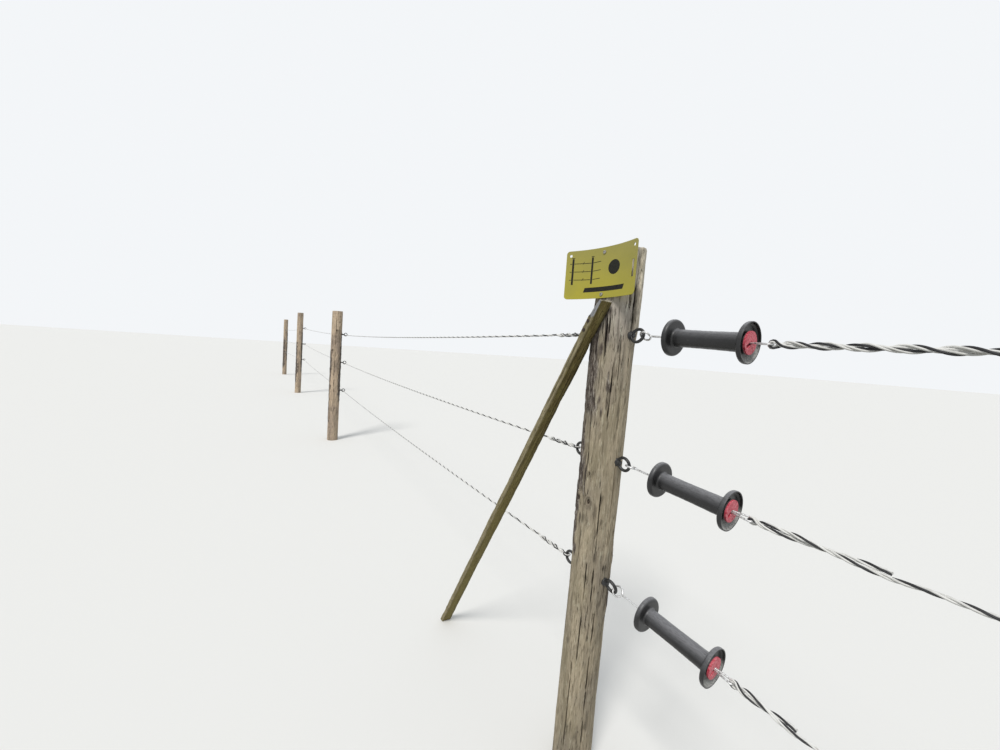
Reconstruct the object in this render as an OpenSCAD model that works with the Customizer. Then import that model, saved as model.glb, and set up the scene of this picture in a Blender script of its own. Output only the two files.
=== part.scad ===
// Rope gate on a round wooden post, with its raking strut and the fence that it closes.
// The origin is the middle of the gate post's foot. +X runs along the gate, +Y into the field.

/* [Gate post and strut] */
// Diameter of the gate post and of the far post
post_d = 102; // [90:1:120]
// Height of the gate post and of the far post above the ground
post_h = 1360; // [1330:10:1500]
// Lean of the gate post towards the gate, in degrees
post_lean = 1; // [0:0.5:2]
// Width of the strut across the fence line
strut_w = 38; // [30:1:50]
// Thickness of the strut
strut_t = 18; // [15:1:24]
// Rake of the strut from upright, in degrees
strut_rake = 29.5; // [25:0.5:32]
// Height of the middle of the strut's sawn top end
strut_top = 1228; // [1180:1:1228]

/* [Warning plate] */
// Width of the plate, measured round its curve
sign_w = 205; // [160:5:220]
// Height of the plate
sign_h = 120; // [100:5:120]
// Thickness of the plate
sign_t = 1.5; // [1:0.1:3]
// Radius that the plate is bent to
sign_bend_r = 250; // [200:10:400]
// Height of the plate's middle
sign_z = 1297; // [1297:1:1300]
// Turn of the plate round the post, in degrees
sign_turn = 6; // [0:1:10]

/* [Ropes] */
// Diameter of the rope
rope_d = 8; // [6:0.5:9]
// Length of the rope's doubled end beside each eye
splice_len = 120; // [80:10:160]
// Distance from the gate post to the far post
gate_w = 4000; // [3000:100:5000]
// Sag of each fence rope between two posts
fence_sag = 15; // [5:1:30]

/* [Gate handles] */
// Length of a handle between its two rims
handle_len = 155; // [148:1:170]
// Diameter of the grip
grip_d = 36.5; // [32:0.5:40]
// Diameter of the two hand guards
guard_d = 78; // [70:1:84]
// Depth of a hand guard
guard_depth = 10; // [8:1:14]
// Distance of the handles' red ends from the middle of the post's foot
cap_x = 332; // [330:1:340]

/* [Anchors] */
// Outer diameter of an anchor's ring
ring_d = 38; // [36:1:42]
// Thickness of the ring across its opening
ring_t = 7; // [6:0.5:7]
// Width of the ring's rim
ring_w = 8; // [7:0.5:9]

/* [Line posts] */
// Diameter of the line posts
line_post_d = 108; // [90:1:120]
// Distance of the ropes from the middle of the line posts
line_rope_y = 90; // [86:1:95]

/* [Hidden] */
$fn = 48;

post_r = post_d / 2;
line_post_r = line_post_d / 2;
touch = 0.05;

// Heights of the three ropes at the gate post, and how far each handle dips and each rope falls
rope_z = [1153, 847, 541];
handle_dip = [3, 4, 4];
rope_fall = [0.027, 0.029, 0.054];
// Turn of each anchor's ring and of each hook's eye round the pull
ring_turn = [-15, 8, 20];
hook_turn = [45, 78, -40];

// Places and heights of the two line posts and of the end post
line_x = [-3746, -7716, -11736];
line_h = [1400, 1565, 1560];
line_rise = [-6, 108, 108];

// How far down the strut its nails are
nail_s = [56, 80];

// The hook's wire, bent to an open eye that holds the anchor's ring
wire_d = 4.5;
hook_r = 12;
hook_open = 50;
rod_len = handle_len - 40;
washer_d = 22;
// The eye that the rope is tied to
eye_wire = 4;
eye_r = 7.5;
// How far below level the slot in the red cap runs
slot_turn = 35;
// The handle's walls
guard_wall = 2.5;
fillet_r = 4;
bore_d = 26;
rod_bore = 6;
cap_d = 43;
cap_t = 4;

ring_r = (ring_d - ring_t) / 2;
ring_stand = ring_d / 2 + 0.5;
anchor_screw = 7;
anchor_depth = 40;
splice_d = rope_d * 1.55;

function post_x(z) = z * tan(post_lean);
// Where the hook pulls on the ring's outer limb
pull_reach = post_r + ring_stand + ring_r;
function pull_x(i) = post_x(rope_z[i]) + pull_reach * cos(post_lean);
function pull_z(i) = rope_z[i] - pull_reach * sin(post_lean);
function lerp(a, b, t) = a + (b - a) * t;
function unit(v) = v / norm(v);

// A tube swept along points, with 8 sides
module tube(points, d) {
  n = len(points);
  sides = 8;
  rings = [
    for (i = [0:n - 1])
      let (
        t = unit(points[min(i + 1, n - 1)] - points[max(i - 1, 0)]),
        u = unit(cross(t, [0, 0, 1])),
        v = cross(u, t)
      )
      for (k = [0:sides - 1])
        points[i] + d / 2 * (cos(k * 360 / sides) * u + sin(k * 360 / sides) * v)
  ];
  walls = [
    for (i = [0:n - 2])
      for (k = [0:sides - 1])
        [
          i * sides + k, i * sides + (k + 1) % sides,
          (i + 1) * sides + (k + 1) % sides, (i + 1) * sides + k
        ]
  ];
  first = [for (k = [sides - 1:-1:0]) k];
  last = [for (k = [0:sides - 1]) (n - 1) * sides + k];
  polyhedron(rings, concat(walls, [first], [last]), convexity = 4);
}

module torus(r, wire_r) {
  rotate_extrude() translate([r, 0]) circle(wire_r);
}

// The body of the gate post, leaning from its flat foot
module leaning_body() {
  intersection() {
    rotate([0, post_lean, 0]) translate([0, 0, -50]) cylinder(r = post_r, h = post_h + 100);
    translate([-300, -300, 0]) cube([600, 600, post_h]);
  }
}

// Frame of a hold on the gate post: square to the post, at its skin
module post_frame(i, side) {
  translate([post_x(rope_z[i]), 0, rope_z[i]]) rotate([0, post_lean, 0])
    mirror([1 - side, 0, 0]) translate([post_r, 0, 0]) children();
}

module gate_post() {
  color("#8d8478") difference() {
    leaning_body();
    for (i = [0:2], side = [0, 1]) post_frame(i, side) anchor_core(anchor_screw);
    sign_fixings(5);
    strut_fixings(4);
  }
}

// The shank that goes into the post, along -X
module anchor_core(d) {
  translate([-anchor_depth, 0, 0]) rotate([0, 90, 0]) cylinder(d = d, h = anchor_depth + 6);
}

// Frame of the strut: X' along its thickness, Z' along its length, origin in the middle of its top end
module strut_frame() {
  x = post_x(rope_z[0]) - 18 + (strut_top - rope_z[0]) * tan(strut_rake);
  translate([x, -post_r - strut_w / 2 - touch, strut_top]) rotate([0, strut_rake, 0]) children();
}

module strut_fixings(d) {
  strut_frame() for (s = nail_s)
    translate([0, strut_w / 2 + 30, -s]) rotate([90, 0, 0]) cylinder(d = d, h = strut_w + 30 + 1);
}

module strut() {
  color("#8a8672") difference() {
    intersection() {
      strut_frame() translate([-strut_t / 2, -strut_w / 2, -1600]) cube([strut_t, strut_w, 1600]);
      translate([-1500, -300, 0]) cube([1800, 400, 1400]);
    }
    strut_fixings(4);
    strut_frame() strut_chip();
  }
}

// A splinter broken off the upper front edge beside the top end
module strut_chip() {
  translate([-strut_t / 2 - 1, -strut_w / 2 - 1, -42]) rotate([0, 4, 0]) cube([6, 14, 60]);
}

module strut_nails() {
  color("#6b6259") strut_frame() for (s = nail_s) {
    translate([0, strut_w / 2 + 30, -s]) rotate([90, 0, 0]) cylinder(d = 4, h = strut_w + 30);
    translate([0, -strut_w / 2, -s]) rotate([90, 0, 0]) cylinder(d = 9, h = 1.5);
  }
}

// Frame of the plate: its bending axis, upright
module sign_frame() {
  reach = post_r + sign_bend_r + sign_t + 0.1;
  turn = sign_turn - 2;
  translate([post_x(sign_z) + reach * sin(turn), -reach * cos(turn), sign_z]) rotate([0, 0, sign_turn]) children();
}

module sign_fixings(d) {
  sign_frame() for (z = [-sign_h / 2 + 9, sign_h / 2 - 12])
    translate([0, sign_bend_r - 3, z]) rotate([-90, 0, 0]) cylinder(d = d, h = 38);
}

module sign_plate() {
  half_angle = sign_w / 2 / sign_bend_r * 180 / PI;
  half = sign_bend_r * sin(half_angle);
  corner = 8;
  color("#a8a545") difference() {
    intersection() {
      sign_frame() difference() {
        translate([0, 0, -sign_h / 2]) cylinder(r = sign_bend_r + sign_t, h = sign_h, $fn = 96);
        translate([0, 0, -sign_h]) cylinder(r = sign_bend_r, h = 2 * sign_h, $fn = 96);
      }
      sign_frame() translate([0, sign_bend_r + 20, 0]) rotate([90, 0, 0])
        linear_extrude(120) rounded(2 * half, sign_h, corner);
    }
    sign_fixings(5);
    sign_frame() for (s = [-1, 1])
      rotate([0, 0, s * (half_angle - 2.6)]) translate([0, sign_bend_r - 5, sign_h / 2 - 12])
        rotate([-90, 0, 0]) cylinder(d = 7, h = 12);
    sign_frame() rotate([0, 0, -half_angle + 2.8]) translate([-4, sign_bend_r - 5, -21]) cube([8, 12, 38]);
  }
}

module rounded(w, h, r) {
  square([w, h - 2 * r], center = true);
  square([w - 2 * r, h], center = true);
  for (sx = [-1, 1], sy = [-1, 1])
    translate([sx * (w / 2 - r), sy * (h / 2 - r)]) circle(r);
}

module sign_screws() {
  color("#b9b9b4") {
    intersection() {
      sign_fixings(5);
      sign_frame() translate([0, 0, -sign_h]) cylinder(r = sign_bend_r + 35, h = 2 * sign_h, $fn = 96);
    }
    sign_frame() for (z = [-sign_h / 2 + 9, sign_h / 2 - 12])
      translate([0, sign_bend_r - 3 - touch, z]) rotate([-90, 0, 0]) cylinder(d = 9, h = 3);
  }
}

// A black ring on a stem, screwed into a post along -X. The ring's middle is the origin
module ring_anchor(turn, bed_r, stand) {
  color("#1b1b1c") {
    rotate([turn + 90, 0, 0]) rotate_extrude() translate([ring_r, 0]) {
      square([ring_t, ring_w - ring_t], center = true);
      for (side = [-1, 1]) translate([0, side * (ring_w - ring_t) / 2]) circle(d = ring_t);
    }
    difference() {
      union() {
        translate([-stand - 4, 0, 0]) rotate([0, 90, 0]) cylinder(d = 12, h = 4 + stand - ring_r);
        translate([-stand - 4, 0, 0]) rotate([0, 90, 0]) cylinder(d = 20, h = 6);
      }
      translate([-stand - bed_r, 0, -20]) cylinder(r = bed_r + touch, h = 40);
    }
    translate([-stand, 0, 0]) anchor_core(anchor_screw);
  }
}

module anchor(i) {
  post_frame(i, 1) translate([ring_stand, 0, 0]) ring_anchor(ring_turn[i], post_r, ring_stand);
}

module fence_anchor(i) {
  post_frame(i, 0) translate([ring_stand, 0, 0]) ring_anchor(0, post_r, ring_stand);
}

// Frame of a handle: the pull on the ring is the origin, X' runs along the handle
module handle_frame(i) {
  translate([pull_x(i), 0, pull_z(i)]) rotate([0, handle_dip[i], 0]) children();
}

// How far the handle's red end stands from the pull
function cap_at(i) = (cap_x - pull_x(i)) / cos(handle_dip[i]);

module hook(i) {
  left = -ring_t / 2 - wire_d / 2 - 0.6;
  right = left + 2 * hook_r;
  rod_end = cap_at(i) - handle_len + rod_len;
  color("#a9abad") handle_frame(i) {
    rotate([hook_turn[i], 0, 0]) translate([left + hook_r, 0, 0]) rotate([-90, 0, 0]) {
      rotate([0, 0, 180]) rotate_extrude(angle = 360 - hook_open) translate([hook_r, 0]) circle(d = wire_d);
    }
    translate([right, 0, 0]) sphere(d = wire_d);
    translate([right, 0, 0]) rotate([0, 90, 0]) cylinder(d = wire_d, h = rod_end - right);
    translate([rod_end - 2, 0, 0]) rotate([0, 90, 0]) cylinder(d = washer_d, h = 2);
  }
}

// The moulded grip with its two cupped hand guards, about Z from the hook's rim
module grip_body() {
  r = grip_d / 2;
  g = guard_d / 2;
  round_r = 5;
  difference() {
    union() {
      cylinder(r = r, h = handle_len - cap_t);
      for (end = [0, 1]) translate([0, 0, end * handle_len]) mirror([0, 0, end]) {
        cylinder(r = g, h = guard_depth - round_r);
        translate([0, 0, guard_depth - round_r]) rotate_extrude() {
          square([g - round_r, round_r]);
          translate([g - round_r, 0]) intersection() {
            circle(round_r);
            square(round_r);
          }
        }
        translate([0, 0, guard_depth]) rotate_extrude() translate([r - 0.5, 0]) difference() {
          square(fillet_r + 0.5);
          translate([fillet_r + 0.5, fillet_r + 0.5]) circle(fillet_r);
        }
      }
    }
    for (end = [0, 1]) translate([0, 0, end * handle_len]) mirror([0, 0, end]) difference() {
      translate([0, 0, -1]) cylinder(r = g - guard_wall, h = guard_depth - guard_wall + 1);
      if (end == 1) translate([0, 0, cap_t]) cylinder(r = r, h = guard_depth);
    }
    translate([0, 0, guard_depth]) cylinder(d = bore_d, h = handle_len);
    translate([0, 0, -1]) cylinder(d = rod_bore, h = handle_len);
  }
}

module grip(i) {
  color("#222326") handle_frame(i) translate([cap_at(i) - handle_len, 0, 0]) rotate([0, 90, 0]) grip_body();
}

module cap(i) {
  color("#b8404c") handle_frame(i) translate([cap_at(i), 0, 0]) rotate([0, 90, 0]) difference() {
    union() {
      translate([0, 0, -cap_t]) cylinder(d = cap_d, h = cap_t);
      translate([0, 0, -16]) cylinder(d = bore_d - 0.2, h = 14);
    }
    translate([0, 0, -17]) cylinder(d = bore_d - 5, h = 12);
    rotate([0, 0, slot_turn]) translate([0, -6, 0]) cube([6, 18, 40], center = true);
  }
}

module eye(i) {
  color("#8f9093") handle_frame(i) translate([cap_at(i), 0, 0]) {
    translate([eye_r + eye_wire / 2, 0, 0]) torus(eye_r, eye_wire / 2);
    translate([-10, 0, 0]) rotate([0, 90, 0]) cylinder(d = eye_wire, h = 12);
    translate([-10, 0, 0]) cube([3, 5.8, 17.8], center = true);
  }
}

// The rope's end: a loop round a limb of the given half sizes, and its doubled length along +X
module rope_end(limb_x, limb_y) {
  r = limb_y + 0.5 + rope_d / 2;
  middle = limb_y + 0.3 - limb_x;
  translate([middle, 0, 0]) torus(r, rope_d / 2);
  translate([middle + r - 1, 0, 0]) rotate([0, 90, 0]) cylinder(d = splice_d, h = splice_len);
}

// Where the rope starts at the eye
function eye_pull(i) = cap_at(i) + 2 * eye_r + eye_wire / 2;
function rope_start(i) =
  [pull_x(i) + eye_pull(i) * cos(handle_dip[i]), 0, pull_z(i) - eye_pull(i) * sin(handle_dip[i])];
function far_pull_x(i) = gate_w - post_r - ring_stand - ring_r;

// A hanging line between two heights that leaves its start at a given fall
function hang(x0, z0, x1, z1, fall, x) =
  let (run = x1 - x0, k = (z1 - z0 + fall * run) / (run * run))
  z0 - fall * (x - x0) + k * (x - x0) * (x - x0);

module gate_rope(i) {
  a = rope_start(i);
  x1 = far_pull_x(i);
  z1 = rope_z[i];
  steps = 24;
  points = [
    for (s = [0:steps])
      let (x = lerp(a[0] + 20, x1 - 20, s / steps))
      [x, 0, hang(a[0], a[2], x1, z1, rope_fall[i], x)]
  ];
  end_fall = (hang(a[0], a[2], x1, z1, rope_fall[i], x1 - 100) - z1) / 100;
  color("#c9c9c4") {
    tube(points, rope_d);
    translate(a) rotate([90, atan(rope_fall[i]), 0]) rope_end(eye_wire / 2, eye_wire / 2);
    translate([x1, 0, z1]) rotate([0, 180, 0]) rotate([0, atan(-end_fall), 0]) rope_end(ring_t / 2, ring_w / 2);
  }
}

module far_post() {
  color("#8d8478") difference() {
    translate([gate_w, 0, 0]) cylinder(r = post_r, h = post_h);
    for (i = [0:2])
      translate([gate_w, 0, rope_z[i]]) mirror([1, 0, 0]) translate([post_r, 0, 0]) anchor_core(anchor_screw);
    far_side() strut_fixings(4);
  }
}

// The far post's strut is the gate post's, mirrored
module far_side() {
  translate([gate_w, 0, 0]) mirror([1, 0, 0]) translate([-post_x(rope_z[0]), 0, 0]) children();
}

module far_strut() {
  far_side() strut();
}

module far_nails() {
  far_side() strut_nails();
}

module far_anchors() {
  for (i = [0:2])
    translate([gate_w, 0, rope_z[i]]) mirror([1, 0, 0]) translate([post_r + ring_stand, 0, 0])
      ring_anchor(0, post_r, ring_stand);
}

module line_post(k) {
  color("#867a6c") difference() {
    translate([line_x[k], 0, 0]) cylinder(r = line_post_r, h = line_h[k]);
    if (k < 2) line_insulator_places(k) anchor_core(anchor_screw);
    if (k == 2) end_anchor_places() anchor_core(anchor_screw);
  }
}

// Places of the three insulators on a line post, each at the post's skin
module line_insulator_places(k) {
  for (i = [0:2])
    translate([line_x[k], line_post_r, line_ring_z(k, i)]) rotate([0, 0, 90]) children();
}

module end_anchor_places() {
  for (i = [0:2])
    translate([line_x[2] + line_post_r, 0, rope_z[i] + line_rise[2]]) children();
}

// The rope rests on the inside of the ring
function line_ring_z(k, i) = rope_z[i] + line_rise[k] + ring_r - ring_t / 2 - rope_d / 2 - touch;

module line_insulators(k) {
  stand = line_rope_y - line_post_r;
  line_insulator_places(k) translate([stand, 0, 0]) ring_anchor(0, line_post_r, stand);
}

module end_anchors() {
  end_anchor_places() translate([ring_stand, 0, 0]) ring_anchor(0, line_post_r, ring_stand);
}

// Height of a fence rope between its holds
function bay(p, q, t) = lerp(p, q, t) - [0, 0, 4 * fence_sag * t * (1 - t)];

module fence_rope(i) {
  start = [2 * post_x(rope_z[i]) - pull_x(i), 0, rope_z[i] + pull_reach * sin(post_lean)];
  end = [line_x[2] + line_post_r + ring_stand + ring_r, 0, rope_z[i] + line_rise[2]];
  holds = [
    start,
    [line_x[0], line_rope_y, rope_z[i] + line_rise[0]],
    [line_x[1], line_rope_y, rope_z[i] + line_rise[1]],
    end
  ];
  steps = 12;
  points = concat(
    [for (b = [0:2], s = [0:steps - 1]) if (b > 0 || s > 0) bay(holds[b], holds[b + 1], s / steps)],
    [bay(holds[2], end, 1 - 0.3 / steps)]
  );
  out = points[0] - start;
  back = points[len(points) - 2] - end;
  color("#c9c9c4") {
    tube(concat([start + unit(out) * 20], points), rope_d);
    translate(start) rotate([0, 0, atan2(out[1], out[0])]) rotate([0, -atan2(out[2], -out[0]), 0])
      rope_end(ring_t / 2, ring_w / 2);
    translate(end) rotate([0, 0, atan2(back[1], back[0])]) rope_end(ring_t / 2, ring_w / 2);
  }
}

gate_post();
strut();
strut_nails();
sign_plate();
sign_screws();
anchor(0);  // anchor_top
anchor(1);  // anchor_middle
anchor(2);  // anchor_bottom
hook(0);  // hook_top
hook(1);  // hook_middle
hook(2);  // hook_bottom
grip(0);  // grip_top
grip(1);  // grip_middle
grip(2);  // grip_bottom
cap(0);  // cap_top
cap(1);  // cap_middle
cap(2);  // cap_bottom
eye(0);  // eye_top
eye(1);  // eye_middle
eye(2);  // eye_bottom
gate_rope(0);  // gate_rope_top
gate_rope(1);  // gate_rope_middle
gate_rope(2);  // gate_rope_bottom
far_post();
far_strut();
far_nails();
far_anchors();
fence_anchor(0);  // fence_anchor_top
fence_anchor(1);  // fence_anchor_middle
fence_anchor(2);  // fence_anchor_bottom
fence_rope(0);  // fence_rope_top
fence_rope(1);  // fence_rope_middle
fence_rope(2);  // fence_rope_bottom
line_post(0);  // line_post_1
line_insulators(0);  // line_insulators_1
line_post(1);  // line_post_2
line_insulators(1);  // line_insulators_2
line_post(2);  // end_post
end_anchors();
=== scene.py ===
from math import atan, cos, degrees, hypot, pi, radians, sin, tan

import bmesh
import bpy
import numpy as np
from mathutils import Matrix, Vector


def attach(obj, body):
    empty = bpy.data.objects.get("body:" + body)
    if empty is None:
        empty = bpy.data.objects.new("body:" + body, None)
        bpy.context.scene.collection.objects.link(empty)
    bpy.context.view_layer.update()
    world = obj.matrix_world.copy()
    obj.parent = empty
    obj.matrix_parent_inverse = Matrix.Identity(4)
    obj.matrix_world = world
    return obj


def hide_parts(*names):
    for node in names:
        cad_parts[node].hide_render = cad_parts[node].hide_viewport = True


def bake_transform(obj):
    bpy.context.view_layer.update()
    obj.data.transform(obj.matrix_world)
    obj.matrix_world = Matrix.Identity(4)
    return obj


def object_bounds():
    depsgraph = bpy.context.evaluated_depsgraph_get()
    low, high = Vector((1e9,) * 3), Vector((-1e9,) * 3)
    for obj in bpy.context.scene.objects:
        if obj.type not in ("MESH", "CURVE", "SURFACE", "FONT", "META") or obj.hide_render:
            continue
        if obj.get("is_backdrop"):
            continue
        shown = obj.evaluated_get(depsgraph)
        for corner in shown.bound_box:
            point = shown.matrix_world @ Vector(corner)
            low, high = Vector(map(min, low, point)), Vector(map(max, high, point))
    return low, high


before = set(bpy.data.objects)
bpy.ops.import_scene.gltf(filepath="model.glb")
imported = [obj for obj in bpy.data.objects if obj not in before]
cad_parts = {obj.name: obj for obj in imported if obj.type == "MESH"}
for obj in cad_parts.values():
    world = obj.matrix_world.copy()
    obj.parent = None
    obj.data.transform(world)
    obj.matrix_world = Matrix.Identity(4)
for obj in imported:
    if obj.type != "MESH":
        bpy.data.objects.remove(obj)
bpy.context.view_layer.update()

# The studio: a wide pale floor, an even pale backdrop all round, and one soft sun from above the camera.
# The floor throws back little of the light that falls on it, so undersides stay dark.
# The camera stands beside the gate post at chest height, close enough to touch the handles.
scene = bpy.context.scene
scene.view_settings.view_transform = "Standard"


class Nodes:
    """A node tree in the making."""

    def __init__(self, tree):
        self.tree = tree

    def feed(self, node, wires):
        """Feeds a node's inputs, by name or number, from other nodes or with plain values; gives its outputs."""
        for key, value in wires.items():
            socket = node.inputs[key]
            if isinstance(value, bpy.types.NodeSocket):
                self.tree.links.new(value, socket)
            else:
                socket.default_value = (*value, 1) if socket.type == "RGBA" else value
        return node.outputs

    def add(self, kind, wires={}, **settings):
        """The outputs of a new node with these settings and inputs."""
        node = self.tree.nodes.new(kind)
        for key, value in settings.items():
            setattr(node, key, value)
        return self.feed(node, wires)

    def maths(self, how, a, b=0.0, clamp=False):
        return self.add("ShaderNodeMath", {0: a, 1: b}, operation=how, use_clamp=clamp)[0]

    def times(self, a, b):
        return self.maths("MULTIPLY", a, b)


def seen_apart(nodes, lit, shown, output):
    """The camera, mirrors and glass see the shown shader, and the object is lit by the other."""
    ray = nodes.add("ShaderNodeLightPath")
    seen = nodes.maths("MAXIMUM", ray["Is Camera Ray"], ray["Is Glossy Ray"])
    seen = nodes.maths("MAXIMUM", seen, ray["Is Transmission Ray"])
    either = nodes.add("ShaderNodeMixShader", {0: seen, 1: lit, 2: shown})[0]
    nodes.feed(nodes.tree.nodes[output], {"Surface": either})


bpy.ops.mesh.primitive_plane_add(size=160)
floor = bpy.context.object
floor.name = "floor"
floor.data.transform(Matrix.Translation((0, 0, -0.0005)))
floor_paint = bpy.data.materials.new("floor_paint")
floor_paint.use_nodes = True
floor_nodes = Nodes(floor_paint.node_tree)
pale_floor = floor_nodes.feed(floor_paint.node_tree.nodes["Principled BSDF"], {
    "Base Color": (0.8, 0.8, 0.79), "Roughness": 0.9, "Specular IOR Level": 0.1})
floor_light = floor_nodes.add("ShaderNodeBsdfDiffuse", {"Color": (0.27, 0.27, 0.25)})
seen_apart(floor_nodes, floor_light[0], pale_floor[0], "Material Output")
floor.data.materials.append(floor_paint)
floor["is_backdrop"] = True

backdrop = bpy.data.worlds.new("backdrop")
scene.world = backdrop
backdrop.use_nodes = True
world_nodes = Nodes(backdrop.node_tree)
world_light = world_nodes.feed(backdrop.node_tree.nodes["Background"], {"Color": (0.93, 0.97, 1.0), "Strength": 0.58})
world_shown = world_nodes.add("ShaderNodeBackground", {"Color": (0.9, 0.92, 0.94)})
seen_apart(world_nodes, world_light[0], world_shown[0], "World Output")

sun_light = bpy.data.lights.new("sun", "SUN")
sun_light.energy = 2.1
sun_light.angle = radians(16)
sun_light.color = (1.0, 0.97, 0.92)
sun = bpy.data.objects.new("sun", sun_light)
sun.rotation_mode = "QUATERNION"
sun.rotation_quaternion = Vector((0.32, -0.53, 0.79)).to_track_quat("Z", "Y")
scene.collection.objects.link(sun)

turn, dip, roll = 0.5791, 0.0633, -0.0698
camera_at = (0.6593, -0.7452, 1.0942)
ahead = Vector((-cos(turn) * cos(dip), sin(turn) * cos(dip), -sin(dip)))
level_right = Vector((sin(turn), cos(turn), 0))
right = level_right * cos(roll) + ahead.cross(level_right) * sin(roll)
lens = bpy.data.cameras.new("camera")
lens.sensor_width = 36
lens.lens = 13.622
lens.clip_start = 0.05
camera = bpy.data.objects.new("camera", lens)
scene.collection.objects.link(camera)
scene.camera = camera
camera_axes = Matrix((right, -ahead.cross(right), -ahead)).transposed().to_4x4()
camera.matrix_world = Matrix.Translation(camera_at) @ camera_axes


# The gate post: a peeled round stake, leaning a degree towards the gate. Its wood has silvered and split
# lengthways, dark inner bark clings to its left side, and a slab of bark stands off the right of its head.
def lattice(u, v, around, along, seed):
    """Soft noise from -1 to 1 on a post: u turns once round it, v goes once up it."""
    grid = np.random.default_rng(seed).uniform(-1, 1, (along + 2, around))
    a, b = np.mod(u, 1) * around, np.clip(v, 0, 1) * along
    i, j = np.floor(a).astype(int), np.floor(b).astype(int)
    s, t = a - i, b - j
    s, t = s * s * (3 - 2 * s), t * t * (3 - 2 * t)
    low = grid[j, i % around] * (1 - s) + grid[j, (i + 1) % around] * s
    high = grid[j + 1, i % around] * (1 - s) + grid[j + 1, (i + 1) % around] * s
    return low * (1 - t) + high * t


def step(x, low, high):
    """0 below low, 1 above high, and smooth between."""
    t = np.clip((x - low) / (high - low), 0, 1)
    return t * t * (3 - 2 * t)


def window(x, low, full, fading, high):
    """1 from full to fading, 0 below low and above high, and smooth between."""
    return step(x, low, full) * (1 - step(x, fading, high))


def bell(x, middle, width):
    """1 in the middle, fading to either side."""
    return np.exp(-((x - middle) / width) ** 2)


def degrees_off(degrees_round, angle):
    """How far round each place is from an angle, the short way, from -180 to 180."""
    return (degrees_round - angle + 180) % 360 - 180


def walls(starts, n):
    """Faces between one ring of n points and the next, from the number of each ring's first point."""
    return [(a + i, a + (i + 1) % n, b + (i + 1) % n, b + i) for a, b in zip(starts, starts[1:]) for i in range(n)]


def fan(ring, tip, n):
    """Faces from a ring of n points to one more."""
    return [(ring + i, ring + (i + 1) % n, tip) for i in range(n)]


def stacked(parts, names):
    """Points and their named values, from (points, value, value...) parts; one number does for a whole part."""
    marks = {name: np.concatenate([np.broadcast_to(part[k], len(part[0])) for part in parts])
             for k, name in enumerate(names, 1)}
    return np.concatenate([part[0] for part in parts]), marks


def finished(name, mesh, body, sharp=None):
    """A mesh on the row frame as a piece that rides on a body, smooth but for edges over sharp degrees."""
    mesh.polygons.foreach_set("use_smooth", [True] * len(mesh.polygons))
    if sharp:
        mesh.set_sharp_from_angle(angle=radians(sharp))
    piece = bpy.data.objects.new(name, mesh)
    scene.collection.objects.link(piece)
    if body:
        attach(piece, body)
    return piece


def marked(mesh, marks):
    """Puts named numbers or vectors on the points of a mesh."""
    for name, values in marks.items():
        values = np.asarray(values, np.float32)
        kind, field = ("FLOAT", "value") if values.ndim == 1 else ("FLOAT_VECTOR", "vector")
        mesh.attributes.new(name, kind, "POINT").data.foreach_set(field, values.ravel())


def new_piece(name, points, faces, material, body="root", sharp=None, marks={}):
    """A piece from points and faces, with its named point values."""
    mesh = bpy.data.meshes.new(name)
    mesh.from_pydata([tuple(p) for p in points], [], faces)
    mesh.materials.append(material)
    piece = finished(name, mesh, body, sharp)
    marked(mesh, marks)
    return piece


def stands_for(piece, node):
    """Hides this node of the solids, for which the piece stands; the piece argument is not used."""
    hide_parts(node)


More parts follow.
